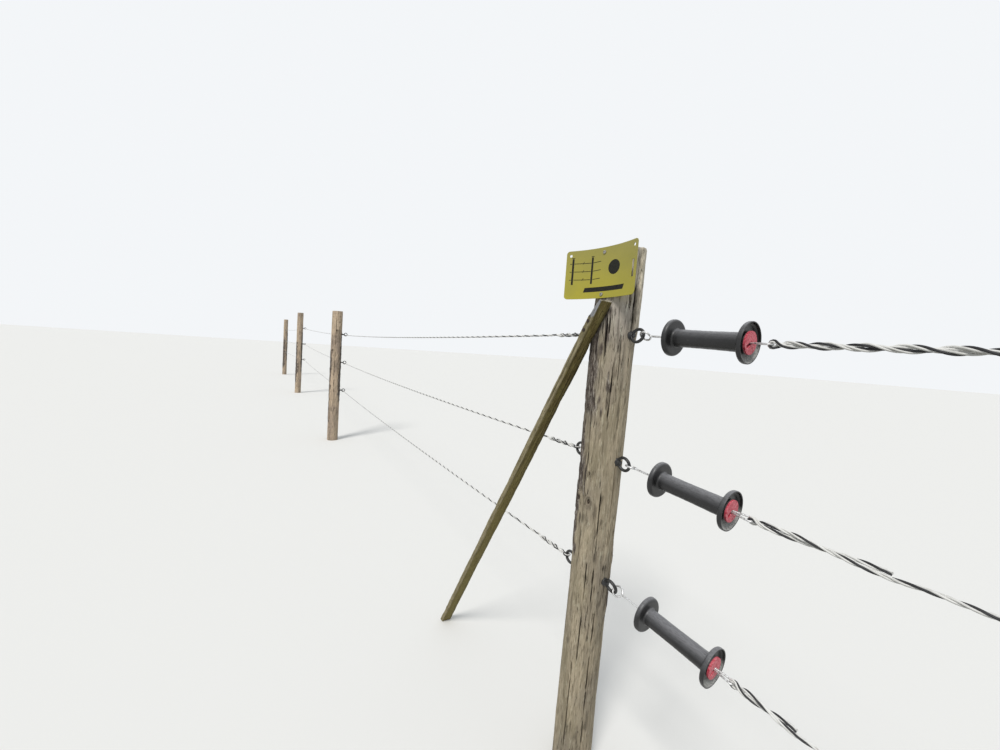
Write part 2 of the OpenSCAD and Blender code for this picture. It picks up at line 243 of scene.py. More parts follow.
def timber(name, material, x, height, radius, columns, rows, seed, lean=0.0, cracks=(), bark=(), slabs=(), knots=(), seats=()):
    """A round post. Angles are in degrees and the rest in metres: cracks are (angle, low, high, depth, width),
    bark is (angle, spread, low, high), slabs are (from, to, low, high, stand), knots are
    (angle, height, size), and seats, where something presses on the post, are (angle, spread, low, high)."""
    angles = set(np.round(np.arange(columns) * 360 / columns, 3))
    for angle, *_, width in cracks:
        for across in (-1.5, -0.6, 0.6, 1.5):
            angles.add(round((angle + degrees(across * width / 2 / radius)) % 360, 3))
    angles = np.radians(np.array(sorted(angles)))
    n = len(angles)
    bearing, up_share = np.meshgrid(angles, np.linspace(0, 1, rows))
    round_share, z = bearing / (2 * pi), up_share * height
    degrees_round = np.degrees(bearing)

    def grain(count, cell, layer):
        """Noise with so many cells round the post, each as high as cell."""
        return lattice(round_share, up_share, count, round(height / cell), seed + layer)

    out = 0.0020 * grain(3, 0.3, 0) + 0.0008 * grain(11, 0.15, 1)
    out += 0.0006 * (1 - 2 * np.abs(grain(30, 0.09, 2)))
    out += 0.0005 * (0.5 - np.abs(grain(75, 0.035, 3)))
    pits = grain(62, 0.03, 4)
    out -= 0.0012 * step(pits, 0.45, 0.8)
    # The dark share is painted shade, kept as the crack mark: pits, the gap behind the slab and the cracks are
    # coloured towards black.
    dark = 0.45 * step(pits, 0.5, 0.85)

    cover = np.zeros_like(out)
    torn_edge = 0.45 * grain(40, 0.03, 7) + 0.35 * grain(9, 0.16, 8)
    torn_low, torn_high = (z + 0.03 * lattice(round_share, up_share, 20, 6, seed + layer) for layer in (6, 5))
    for angle, spread, low, high in bark:
        away = np.abs(degrees_off(degrees_round, angle)) / spread
        ends = step(torn_low, low, low + 0.04) * (1 - step(torn_high, high - 0.04, high))
        cover = np.maximum(cover, step(1 - away + torn_edge, 0, 0.3) * ends)
    flakes = grain(40, 0.022, 9) + 0.5 * grain(80, 0.011, 10)
    out += cover * (0.0012 + 0.0014 * step(flakes, -0.1, 0.25) - 0.0016 * step(-flakes, 0.35, 0.6))

    for start, end, low, high, stand in slabs:
        inside = (degrees_round - start) % 360 / ((end - start) % 360)
        ragged = inside + 0.10 * grain(12, 0.02, 12)
        raised = window(ragged, 0.20, 0.26, 0.75, 0.95) * (inside < 1.2)
        raised *= window(z, low - 0.01, low + 0.05, high - 0.02, high + 0.01)
        gap = window(ragged, -0.04, 0.02, 0.17, 0.22) * (inside < 0.35)
        gap *= step(z, low + 0.02, low + 0.035) * (1 - step(z, high - 0.15, high - 0.12) * 0.75)
        out += stand * raised - 0.009 * gap
        dark = np.maximum(dark, gap)

    knot = np.zeros_like(out)
    for angle, level, size in knots:
        across = np.radians(degrees_off(degrees_round, angle)) * radius
        away = np.hypot(across, (z - level) * 0.6) / size
        knot = np.maximum(knot, np.exp(-away ** 2) * (1 - 0.5 * np.cos(away * 9) * (away < 1.4)))
        out += 0.0025 * np.exp(-(away - 1.1) ** 2 * 3) - 0.003 * np.exp(-(away * 1.8) ** 2)

    for k, (angle, low, high, depth, width) in enumerate(cracks):
        away = np.abs(np.radians(degrees_off(degrees_round, angle))) * radius / (width / 2)
        along = window(z, low, low + 0.05, high - 0.07, high)
        open_wide = along * (0.62 + 0.38 * lattice(round_share * 0, up_share, 4, round(height / 0.025), seed + 20 + k))
        cut = step(open_wide * 1.5 - away, -0.1, 0.35)
        dark = np.maximum(dark, cut)
        out -= depth * along * cut
        out += 0.0007 * along * bell(away, 2.2, 0.8)
    dark = np.clip(dark, 0, 1)

    for angle, spread, low, high in seats:
        pressed = (np.abs(degrees_off(degrees_round, angle)) < spread) & (z > low) & (z < high)
        out = np.where(pressed, np.minimum(out, 0.0008), out)

    reach = radius + out - 0.0012 * step(z, height - 0.002, height)
    saw_tilt = radians(276)
    z = z - 0.0018 * up_share * (1 + np.cos(bearing - saw_tilt))
    wound = bearing + np.radians(3.0 * grain(3, 0.25, 13) + 0.8 * grain(8, 0.07, 14))
    side = np.stack([reach * np.cos(wound) + z * tan(lean), reach * np.sin(wound), z], -1)
    middle = np.array([height * tan(lean), 0, height])
    saw_marks = np.random.default_rng(seed + 15)
    head_rings = 11
    parts = [(side.reshape(-1, 3), dark.ravel(), cover.ravel(), 0, knot.ravel())]
    for ring in range(1, head_rings + 1):
        share = 1 - ring / (head_rings + 1)
        cap = middle + (side[-1] - middle) * share
        split = dark[-1] * share ** 0.5
        out_of_square = 0.0018 * share * np.cos(angles - saw_tilt) + 0.0018
        cap[:, 2] = height - out_of_square - 0.0005 * saw_marks.random(n) - 0.0006 * (ring % 2) - 0.0035 * split
        parts.append((cap, split, 0, 1, 0))
    parts.append((np.array([middle - (0, 0, 0.0028), (0.0, 0, 0)]), 0, 0, 1, 0))
    points, marks = stacked(parts, ("crack", "bark", "end", "knot"))
    tip = (rows + head_rings) * n
    faces = walls(range(0, tip, n), n) + fan(tip - n, tip, n) + [(b, a, foot) for a, b, foot in fan(0, tip + 1, n)]
    return new_piece(name, points + np.array((x, 0, 0)), faces, material, sharp=70, marks=marks)


class Paint(Nodes):
    """A finish: a material's nodes, with short calls for those that all finishes share."""

    def __init__(self, name, roughness=0.6, metallic=0.0, specular=0.5):
        self.material = bpy.data.materials.new(name)
        self.material.use_nodes = True
        super().__init__(self.material.node_tree)
        self.shader = self.tree.nodes["Principled BSDF"]
        self.feed(self.shader, {"Roughness": roughness, "Metallic": metallic, "Specular IOR Level": specular})
        self.place = self.add("ShaderNodeTexCoord")["Object"]

    def noise(self, scale, detail=4.0, roughness=0.6, distortion=0.0, stretch=None, place=None):
        """Noise in the object's own space, drawn out where a stretch is under 1."""
        place = place or self.place
        if stretch:
            place = self.add("ShaderNodeMapping", {"Scale": stretch, "Vector": place})["Vector"]
        return self.add("ShaderNodeTexNoise", {"Scale": scale, "Detail": detail, "Roughness": roughness,
                                               "Distortion": distortion, "Vector": place})["Fac"]

    def upward(self, vector):
        """How far a place or a direction goes up."""
        return self.add("ShaderNodeSeparateXYZ", {0: vector})["Z"]

    def mark(self, name, share=None):
        """The mesh's own values of this name, times a share where there is one."""
        values = self.add("ShaderNodeAttribute", attribute_name=name)["Fac"]
        return self.times(values, share) if share else values

    def ramp(self, source, *stops):
        """Colours or numbers that follow the source, through (at, colour or number) stops."""
        ramp = self.add("ShaderNodeValToRGB", {"Fac": source})[0]
        bar = ramp.node.color_ramp.elements
        while len(bar) < len(stops):
            bar.new(0.5)
        for element, (at, colour) in zip(bar, stops):
            element.position = at
            element.color = (*colour, 1) if isinstance(colour, tuple) else (colour, colour, colour, 1)
        return ramp

    def mix(self, share, a, b, how="MIX"):
        return self.add("ShaderNodeMix", {"Factor": share, "A": a, "B": b}, data_type="RGBA", blend_type=how)["Result"]

    def over(self, base, colour, source, low, high, most=1.0):
        """A colour laid over the base, from none where the source is low to the most where it is high."""
        return self.mix(self.ramp(source, (low, 0.0), (high, most)), base, colour)

    def colour(self, source):
        self.feed(self.shader, {"Base Color": source})

    def rough(self, source):
        self.feed(self.shader, {"Roughness": source})

    def bump(self, source, height, strength=1.0):
        """Relief from the source, on top of what earlier calls gave."""
        wires = {"Strength": strength, "Distance": height, "Height": source}
        if self.shader.inputs["Normal"].is_linked:
            wires["Normal"] = self.shader.inputs["Normal"].links[0].from_socket
        self.feed(self.shader, {"Normal": self.add("ShaderNodeBump", wires)["Normal"]})


def weathered_wood(name, pale, mid, dark, moss=0.25, foot=(1, 1, 1), waist=(1, 1, 1)):
    """Silvered fibres with short open checks, darker streaks, dark bark with pale flecks, and a breath of algae."""
    wood = Paint(name, roughness=0.88, specular=0.2)
    fibre = wood.noise(520, 4, 0.7, stretch=(1, 1, 0.10))
    check = wood.noise(330, 3, 0.62, 0.3, (1, 1, 0.09))
    streak = wood.noise(62, 4, 0.6, 0.4, (1, 1, 0.05))
    patch = wood.noise(12, 3, 0.55, stretch=(1, 1, 0.4))
    fleck = wood.noise(230, 5, 0.7, stretch=(1, 1, 0.16))
    damp = wood.noise(26, 4, 0.6, stretch=(1, 1, 0.25))
    base = wood.ramp(fibre, (0.30, dark), (0.44, mid), (0.60, pale))
    base = wood.over(base, tuple(c * 0.70 for c in mid), streak, 0.46, 0.62, 0.8)
    base = wood.over(base, (mid[0] * 0.68, mid[1] * 0.69, mid[2] * 0.76), patch, 0.46, 0.62, 0.8)
    base = wood.mix(wood.times(wood.ramp(damp, (0.5, 0.0), (0.68, 1.0)), moss), base, (0.15, 0.155, 0.06))
    base = wood.over(base, tuple(min(1, c * 1.25) for c in pale), fleck, 0.56, 0.66, 0.6)
    open_check = wood.times(wood.ramp(check, (0.585, 0.0), (0.64, 0.85)), wood.ramp(patch, (0.40, 0.2), (0.60, 1.0)))
    base = wood.mix(open_check, base, (0.045, 0.035, 0.028))
    # Painted light by height: the wood browns and darkens towards the foot, partly as painted shade, and reaches full
    # brightness from about 1.21 m up as a painted lift against the plate's shadow.
    height_tone_and_painted_light = wood.ramp(wood.times(wood.upward(wood.place), 0.7), (0.68, foot), (0.79, waist), (0.85, (1, 1, 1)))
    base = wood.mix(1.0, base, height_tone_and_painted_light, "MULTIPLY")
    bark = wood.ramp(fleck, (0.37, (0.035, 0.026, 0.022)), (0.46, (0.105, 0.085, 0.072)),
                     (0.54, (0.20, 0.170, 0.148)), (0.62, (0.42, 0.38, 0.335)))
    base = wood.mix(wood.mark("bark"), base, bark)
    base = wood.mix(wood.mark("knot", 0.85), base, (0.05, 0.036, 0.028))
    growth = wood.add("ShaderNodeTexWave", {"Scale": 90, "Distortion": 3, "Detail": 3, "Vector": wood.place},
                      wave_type="RINGS", rings_direction="Z")["Fac"]
    base = wood.mix(wood.mark("end", 0.85), base, wood.ramp(growth, (0.0, dark), (1.0, pale)))
    # Painted shade: the crack mark darkens cracks, pits and the slab's gap almost to black.
    base = wood.mix(wood.mark("crack"), base, (0.012, 0.009, 0.007))
    wood.colour(base)
    wood.bump(fibre, 0.0012, 0.9)
    wood.bump(open_check, -0.0012, 0.9)
    wood.bump(fleck, 0.0012, 0.5)
    return wood


gate_wood = weathered_wood("gate_timber", pale=(0.92, 0.83, 0.69), mid=(0.69, 0.62, 0.505), dark=(0.30, 0.257, 0.207),
                           foot=(0.63, 0.595, 0.525), waist=(0.74, 0.71, 0.66))
post_height, timber_radius, post_lean = 1.36, 0.0498, radians(1)
gate_cracks = [
    (346, 1.19, 1.36, 0.012, 0.0050), (316, 0.93, 1.11, 0.008, 0.0028), (309, 0.985, 1.06, 0.006, 0.0022),
    (331, 1.02, 1.18, 0.005, 0.0018), (277, 1.12, 1.24, 0.006, 0.0026), (262, 1.00, 1.20, 0.006, 0.0030),
    (35, 0.86, 1.08, 0.008, 0.0040), (355, 0.62, 0.95, 0.006, 0.0024), (322, 0.44, 0.80, 0.007, 0.0026),
    (300, 0.30, 0.62, 0.006, 0.0024), (270, 0.55, 0.90, 0.006, 0.0026), (338, 0.06, 0.50, 0.007, 0.0030),
    (286, 0.05, 0.36, 0.006, 0.0026), (20, 0.30, 0.74, 0.007, 0.0034), (26, 1.06, 1.30, 0.008, 0.0040),
    (12, 1.16, 1.36, 0.009, 0.0044), (3, 0.96, 1.16, 0.006, 0.0028), (289, 1.07, 1.235, 0.009, 0.0044),
    (281, 1.00, 1.15, 0.007, 0.0030), (297, 1.13, 1.235, 0.006, 0.0026), (268, 0.84, 1.02, 0.006, 0.0026),
    (34, 1.12, 1.34, 0.008, 0.0036), (120, 0.30, 1.33, 0.010, 0.0044), (75, 0.05, 0.90, 0.007, 0.0030),
    (165, 0.45, 1.10, 0.008, 0.0032), (205, 0.05, 0.70, 0.007, 0.0030), (95, 0.85, 1.36, 0.008, 0.0034),
]
gate_bark = [(240, 52, 0.95, 1.27), (228, 26, 0.56, 0.96), (246, 20, 0.74, 0.86), (150, 30, 0.2, 0.9), (34, 10, 0.42, 0.62)]
gate_slab = (356, 72, 1.13, 1.40, 0.005)
gate_knots = [(251, 0.975, 0.0045), (288, 0.742, 0.007), (250, 0.742, 0.006), (283, 0.812, 0.0035), (140, 0.6, 0.008)]
plate_seat = (272, 16, 1.05, 1.37)
gate_post = timber("post_timber", gate_wood.material, 0, post_height, timber_radius, columns=140, rows=360, seed=5, lean=post_lean,
                   cracks=gate_cracks, bark=gate_bark, slabs=[gate_slab], knots=gate_knots, seats=[plate_seat])
stands_for(gate_post, "gate_post")


# The strut: a sawn batten, nailed to the post's near side and let into the ground. Its near edge has weathered
# to grey, its faces are dark and green with algae, the far part of its underside is painted near black as shade,
# and a splinter has split away from the corner of its head.
strut_wide, strut_thick, rake = 0.038, 0.018, radians(29.5)
strut_top, strut_out, strut_back, top_rope = 1.228, 0.0700, 0.018, 1.153
lean_shift, seat_gap, gateway = 0.0201, 0.00005, 4.0
strut_head = Vector((lean_shift - strut_back + (strut_top - top_rope) * tan(rake), -strut_out - seat_gap, strut_top))


def strut_point(x, y, z, mirror=False):
    """A point of the strut's own frame, thickness x, width y, length z from its head, in the row frame."""
    p = strut_head + Vector((x * cos(rake) + z * sin(rake), y, -x * sin(rake) + z * cos(rake)))
    return (gateway + lean_shift - p.x, p.y, p.z) if mirror else tuple(p)


def batten(name, material, mirror, seed, around=84, rows=350):
    """The strut's mesh: a worn oblong section, from its head down to the ground."""
    worn, corner, off_ground = 0.0004, 0.0022, 0.0006
    half_x, half_y = strut_thick / 2 - worn, strut_wide / 2 - worn
    outline = np.array([(cx * (half_x - corner) + corner * cos(radians(a + t)),
                         cy * (half_y - corner) + corner * sin(radians(a + t)))
                        for cx, cy, a in ((1, 1, 0), (-1, 1, 90), (-1, -1, 180), (1, -1, 270), (1, 1, 360))
                        for t in (0, 30, 60, 90)])
    outline = outline[:17]
    run = np.concatenate([[0], np.cumsum(np.hypot(*np.diff(outline, axis=0).T))])
    share = np.arange(around) / around
    flat_x, flat_y = (np.interp(share, run / run[-1], outline[:, i]) for i in (0, 1))
    round_share, down_share = np.meshgrid(share, np.linspace(0, 1, rows))
    x, y = np.tile(flat_x, (rows, 1)), np.tile(flat_y, (rows, 1))
    z = (off_ground - strut_head.z + x * sin(rake)) / cos(rake) * down_share ** 1.2

    def grain(count, cells, layer):
        """Noise with so many cells round the batten and so many along it."""
        return lattice(round_share, down_share, count, cells, seed + layer)

    swell = 0.0006 * grain(6, 10, 0) + 0.0004 * grain(40, 50, 1)
    swell -= 0.0010 * step(grain(34, 26, 2), 0.35, 0.8) + 0.0006 * np.abs(grain(60, 160, 3))
    split = bell(y, 0.004, 0.0009) * step(x, half_x * 0.8, half_x) * window(-z, 0.05, 0.12, 0.5, 0.62)
    near_split = bell(x, -0.001, 0.0007) * step(-y, half_y * 0.8, half_y) * window(-z, 0.10, 0.16, 0.26, 0.34)
    x = x * (1 + swell / half_x) - 0.003 * split
    y = y * (1 + swell / half_y) + 0.002 * near_split
    torn_end = 0.046 + 0.010 * step(y, -0.015, 0.012) + 0.004 * grain(60, 1, 4)
    torn = (0.0020 + 0.0085 * np.clip(1 + z / torn_end, 0, 1)) * (1 - step(-z, torn_end - 0.0015, torn_end))
    torn *= 1 - 0.85 * step(y, -0.006, 0.016)
    x += torn / (2 * half_x) * (half_x - x)
    fresh = step(torn, 0.0010, 0.0025) * (flat_x < half_x * 0.9)
    gap = bell(z, -torn_end, 0.0022) * (1 - step(y, -0.008, 0.010)) * (flat_x < 0.2 * half_x)
    # Painted shade, kept as the crack mark: the splits and the step under the torn splinter are coloured near black.
    dark = 0.95 * np.clip(np.maximum(np.maximum(split, near_split), gap), 0, 1)
    body = np.stack([x, y, z], -1)
    centre = body[0].mean(axis=0)
    head_rings = 5
    parts = [(body.reshape(-1, 3), 0, dark.ravel(), fresh.ravel())]
    for ring in range(1, head_rings + 1):
        inward = ring / (head_rings + 1)
        cap = centre + (body[0] - centre) * (1 - inward)
        cap[:, 2] = 0.0007 * lattice(share * 5, 0 * share + inward, 20, 6, seed + 5)
        parts.append((cap, 1, 0, 0))
    parts += [(np.array([centre]), 1, 0, 0), (np.array([body[-1].mean(axis=0)]), 0, 0, 0)]
    points, marks = stacked(parts, ("end", "crack", "fresh"))
    foot, tip = (rows - 1) * around, (rows + head_rings) * around
    faces = [(a, d, c, b) for a, b, c, d in walls(range(0, foot + 1, around), around)]
    faces += walls([0, *range(foot + around, tip, around)], around) + fan(tip - around, tip, around)
    faces += [(b, a, middle) for a, b, middle in fan(foot, tip + 1, around)]
    if mirror:
        faces = [tuple(reversed(f)) for f in faces]
    marks["near"] = step(-points[:, 1], half_y - 0.0035, half_y - 0.0015)
    # Painted shade: the far part of the underside, which faces down, is darkened towards black.
    marks["underside_shade"] = step(points[:, 0], 0, half_x) * step(points[:, 1], 0.004, half_y)
    return new_piece(name, [strut_point(*p, mirror) for p in points], faces, material, sharp=50, marks=marks)


def sawn_wood(name, slope):
    """Grey on the near edge, dark olive on the faces, painted shade near black on the far part of the underside,
    blue-grey where the splinter was.
    """
    wood = Paint(name, roughness=0.85, specular=0.25)
    lengthways = wood.add("ShaderNodeMapping", {"Rotation": (0, slope, 0), "Vector": wood.place})["Vector"]
    fibre = wood.noise(480, 4, 0.7, 0.0, (1, 1, 0.07), lengthways)
    streak = wood.noise(90, 4, 0.6, 0.3, (1, 1, 0.04), lengthways)
    stain = wood.noise(55, 5, 0.65, 0.0, (1, 1, 0.35), lengthways)
    spot = wood.noise(260, 3, 0.6, 0.0, (1, 1, 0.5), lengthways)
    grey = wood.ramp(fibre, (0.32, (0.150, 0.127, 0.072)), (0.48, (0.295, 0.253, 0.150)), (0.64, (0.42, 0.37, 0.235)))
    grey = wood.over(grey, (0.170, 0.146, 0.075), stain, 0.46, 0.62, 0.6)
    olive = wood.ramp(fibre, (0.32, (0.085, 0.062, 0.020)), (0.5, (0.245, 0.190, 0.072)), (0.66, (0.45, 0.375, 0.170)))
    olive = wood.over(olive, (0.370, 0.320, 0.112), stain, 0.46, 0.62, 0.6)
    olive = wood.over(olive, (0.085, 0.064, 0.025), streak, 0.52, 0.66, 0.65)
    # Painted shade on the far part of the underside.
    olive = wood.mix(wood.mark("underside_shade", 0.7), olive, (0.040, 0.031, 0.013))
    olive = wood.mix(wood.ramp(wood.upward(wood.place), (0.45, 0.6), (1.0, 0.0)), olive, (0.400, 0.335, 0.140))
    base = wood.mix(wood.mark("near"), olive, grey)
    bare = wood.ramp(fibre, (0.34, (0.20, 0.205, 0.225)), (0.55, (0.36, 0.37, 0.40)))
    base = wood.mix(wood.times(wood.mark("fresh"), wood.ramp(streak, (0.40, 1.0), (0.66, 0.5))), base, bare)
    base = wood.over(base, (0.035, 0.030, 0.018), spot, 0.60, 0.65, 0.75)
    cut = wood.ramp(stain, (0.40, (0.20, 0.185, 0.15)), (0.50, (0.38, 0.36, 0.31)), (0.62, (0.55, 0.53, 0.48)))
    base = wood.mix(wood.mark("end", 0.9), base, cut)
    # Painted shade: the crack mark darkens the splits almost to black.
    wood.colour(wood.mix(wood.mark("crack"), base, (0.012, 0.010, 0.007)))
    wood.bump(fibre, 0.0010, 0.9)
    wood.bump(spot, -0.0006, 0.5)
    return wood


strut = batten("strut_batten", sawn_wood("strut_timber", -rake).material, False, 31)
stands_for(strut, "strut")


# The strut's nails: two wire nails with flat round heads, driven through its near face into the post.
# The heads have rusted dark and stain the wood round them.
def turn_round(sides):
    """The angles of a full turn, in radians."""
    return [2 * pi * k / sides for k in range(sides)]


def tube(rings):
    """Points and faces of a closed skin over a row of rings, flat at both ends."""
    points = [tuple(p) for ring in rings for p in ring]
    n = len(rings[0])
    ends = [tuple(reversed(range(n))), tuple(range(len(points) - n, len(points)))]
    return points, walls(range(0, len(points), n), n) + ends


def turned(profile, sides, place):
    """Rings about local X, one for each (along, radius) of a profile; place maps local to row."""
    return [[place @ Vector((along, radius * cos(a), radius * sin(a))) for a in turn_round(sides)] for along, radius in profile]


def outward(piece, merge=0.0):
    """Turns every face of a closed mesh outwards, its points merged first where they lie this close."""
    work = bmesh.new()
    work.from_mesh(piece.data)
    if merge:
        bmesh.ops.remove_doubles(work, verts=work.verts, dist=merge)
    bmesh.ops.recalc_face_normals(work, faces=work.faces)
    work.to_mesh(piece.data)
    work.free()


def together(name, parts, material, body="root", sharp=40):
    """One piece made of several separate shapes."""
    points, faces = [], []
    for p, f in parts:
        faces += [tuple(len(points) + k for k in face) for face in f]
        points += p
    piece = new_piece(name, points, faces, material, body, sharp)
    outward(piece)
    return piece


rust = Paint("nail_rust", roughness=0.7, metallic=0.4)
rust.colour(rust.ramp(rust.noise(900), (0.35, (0.018, 0.014, 0.012)), (0.65, (0.085, 0.060, 0.045))))
rust.bump(rust.noise(1500, 3), 0.0003, 0.6)


def nails(name, mirror):
    """Two nails through a strut, each turned from its point to its head."""
    profile = [(-0.060, 0.0003), (-0.058, 0.0019), (-0.0005, 0.0019), (-0.0004, 0.0042),
               (0.0008, 0.0045), (0.0012, 0.0042), (0.0014, 0.003), (0.0013, 0.0005)]
    places = [Matrix.Translation(strut_point(0, -strut_wide / 2 + 0.0002, -down, mirror)) for down in (0.056, 0.080)]
    shapes = [tube(turned(profile, 24, place @ Matrix.Rotation(radians(-90), 4, "Z"))) for place in places]
    return together(name, shapes, rust.material)


stands_for(nails("nail_heads", False), "strut_nails")


# The plate: thin yellow plastic, bent hollow by its two screws, with two corner holes and a tie slot.
# It has faded to olive yellow; its print is a plain disc, a bar and a fence in thin lines.
def rounded_copy(node, name, material, width, body="root", steps=2, sharp=35):
    """A solid's own mesh, with its loose triangles joined and its edges rounded."""
    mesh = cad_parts[node].data.copy()
    mesh.name = name
    work = bmesh.new()
    work.from_mesh(mesh)
    bmesh.ops.remove_doubles(work, verts=work.verts, dist=2e-6)
    bmesh.ops.dissolve_degenerate(work, edges=work.edges, dist=1e-6)
    bmesh.ops.dissolve_limit(work, angle_limit=radians(0.8), verts=work.verts, edges=work.edges)
    bmesh.ops.recalc_face_normals(work, faces=work.faces)
    work.to_mesh(mesh)
    work.free()
    mesh.materials.clear()
    mesh.materials.append(material)
    piece = finished(name, mesh, body, sharp)
    bevel = piece.modifiers.new("edges", "BEVEL")
    bevel.width = width
    bevel.segments = steps
    bevel.limit_method = "ANGLE"
    bevel.angle_limit = radians(sharp)
    bevel.harden_normals = True
    stands_for(piece, node)


yellow = Paint("plate_plastic", roughness=0.42, specular=0.45)
fade = yellow.noise(14)
plate_top, fade_rate = 1.357, 8.3
lower = yellow.times(yellow.maths("SUBTRACT", plate_top, yellow.upward(yellow.place)), fade_rate)
plate_colour = yellow.mix(yellow.ramp(lower, (0.0, 0.0), (1.0, 1.0)), (0.375, 0.335, 0.080), (0.50, 0.44, 0.035))
plate_colour = yellow.over(plate_colour, (0.30, 0.285, 0.075), fade, 0.4, 0.7, 0.35)
plate_colour = yellow.over(plate_colour, (0.17, 0.16, 0.06), yellow.noise(900, 3, 0.7), 0.62, 0.75, 0.45)
yellow.colour(plate_colour)
yellow.rough(yellow.ramp(fade, (0.3, 0.36), (0.7, 0.55)))
yellow.bump(yellow.noise(260, 3), 0.0002, 0.3)
rounded_copy("sign_plate", "plate_sheet", yellow.material, 0.0003, sharp=30)

post_radius = 0.051
plate_bend, plate_thick, plate_gap, plate_z = 0.250, 0.0015, 0.0001, 1.297
plate_turn, plate_slip = radians(6), radians(2)
plate_reach = post_radius + plate_bend + plate_thick + plate_gap
plate_side = plate_turn - plate_slip
plate_axis = (plate_z * tan(post_lean) + plate_reach * sin(plate_side), -plate_reach * cos(plate_side))


def on_plate(u, v, lift):
    """A point on the plate's face, u mm right and v mm above its middle, lifted off it by some mm."""
    a = plate_turn + pi / 2 - u / 1000 / plate_bend
    r = plate_bend - lift / 1000
    return (plate_axis[0] + r * cos(a), plate_axis[1] + r * sin(a), plate_z + v / 1000)


def printed(shape):
    """A thin closed layer of ink on the plate, from a filled outline in mm with its long edges cut up."""
    outline = []
    for (ax, ay), (bx, by) in zip(shape, shape[1:] + shape[:1]):
        cuts = max(1, int(abs(bx - ax) / 4))
        outline += [(ax + (bx - ax) * c / cuts, ay + (by - ay) * c / cuts) for c in range(cuts)]
    n = len(outline)
    work = bmesh.new()
    ring = [work.verts.new((x, y, 0)) for x, y in outline]
    edges = [work.edges.new((ring[k], ring[(k + 1) % n])) for k in range(n)]
    bmesh.ops.triangle_fill(work, use_beauty=True, use_dissolve=False, edges=edges)
    work.verts.index_update()
    points = [on_plate(v.co.x, v.co.y, lift) for lift in (0.12, -0.05) for v in work.verts]
    tris = [tuple(v.index for v in f.verts) for f in work.faces]
    work.free()
    return points, tris + [tuple(k + n for k in reversed(t)) for t in tris] + walls([0, n], n)


def stroke(ax, ay, bx, by, wide):
    """A thin printed line."""
    d = hypot(bx - ax, by - ay)
    nx, ny = -(by - ay) / d * wide / 2, (bx - ax) / d * wide / 2
    return printed([(ax + nx, ay + ny), (ax - nx, ay - ny), (bx - nx, by - ny), (bx + nx, by + ny)])


ink = Paint("plate_ink", roughness=0.6, specular=0.15)
ink.colour(ink.ramp(ink.noise(500), (0.4, (0.012, 0.012, 0.012)), (0.75, (0.045, 0.043, 0.03))))
plain_disc = [(31 + 17 * cos(a), 10 + 17 * sin(a)) for a in turn_round(20)]
slanted_bar = [(-52, -44), (62, -44), (66, -33), (-48, -33)]
print_parts = [printed(plain_disc), printed(slanted_bar)]
for x in (-84, -32):
    print_parts += [stroke(x, -24, x, 40, 5.2), stroke(x - 4, 42, x + 4, 42, 1.6)]
for y in (28, 8, -12):
    print_parts += [stroke(-92, y, -87.4, y, 1.5), stroke(-80.6, y, -35.4, y - 1.5, 1.5),
                    stroke(-28.6, y - 1.5, -8, y, 1.5), stroke(-58, y - 2.6, -54, y + 3.2, 1.2)]
together("plate_print", print_parts, ink.material)


# The plate's screws: two pan heads with a cross recess, driven through the plate's upper and lower edge
# into the post. Their zinc has gone dull, and brown in the cross.
def aimed(at, along):
    """A frame at a point, with its X along a direction."""
    return Matrix.Translation(at) @ along.to_track_quat("X", "Z").to_matrix().to_4x4()


def cross_head(place):
    """A pan head about local X with a pressed cross: the middle of its dome is pushed in along two arms."""
    head_r, shank_r, arm_half, arm_reach, deep, sides, steps = 0.0044, 0.0022, 0.00055, 0.0023, 0.0014, 40, 14
    rings = []
    for j in range(steps + 1):
        r = head_r * j / steps
        dome = 0.0028 - 0.0010 * (r / head_r) ** 2 - 0.0012 * max(0, (r - 0.0038) / 0.0006)
        reach = min(1, max(0, 1 - (r - arm_reach) / 0.0004))
        ring = []
        for a in turn_round(sides):
            y, z = r * cos(a), r * sin(a)
            inside = min(1, max(0, 1 - (min(abs(y), abs(z)) - arm_half) / 0.0003)) * reach
            ring.append(place @ Vector((dome - deep * inside, y, z)))
        rings.append(ring)
    return tube(rings + turned([(0.0, 0.0045), (0.0, shank_r), (-0.03, shank_r)], sides, place))


dull_zinc = Paint("screw_zinc", roughness=0.4, metallic=0.85)
dull_zinc.colour(dull_zinc.ramp(dull_zinc.noise(1400), (0.35, (0.20, 0.17, 0.14)), (0.6, (0.50, 0.50, 0.48))))
screw_parts = []
for v, twist in ((-51, 0.4), (48, 1.1)):
    seat = Vector(on_plate(0, v, 0.05))
    out_of_plate = (Vector(on_plate(0, v, 10)) - seat).normalized()
    screw_parts.append(cross_head(aimed(seat, out_of_plate) @ Matrix.Rotation(twist, 4, "X")))
plate_screws = together("plate_screws", screw_parts, dull_zinc.material, sharp=38)
outward(plate_screws, merge=1e-7)
stands_for(plate_screws, "sign_screws")


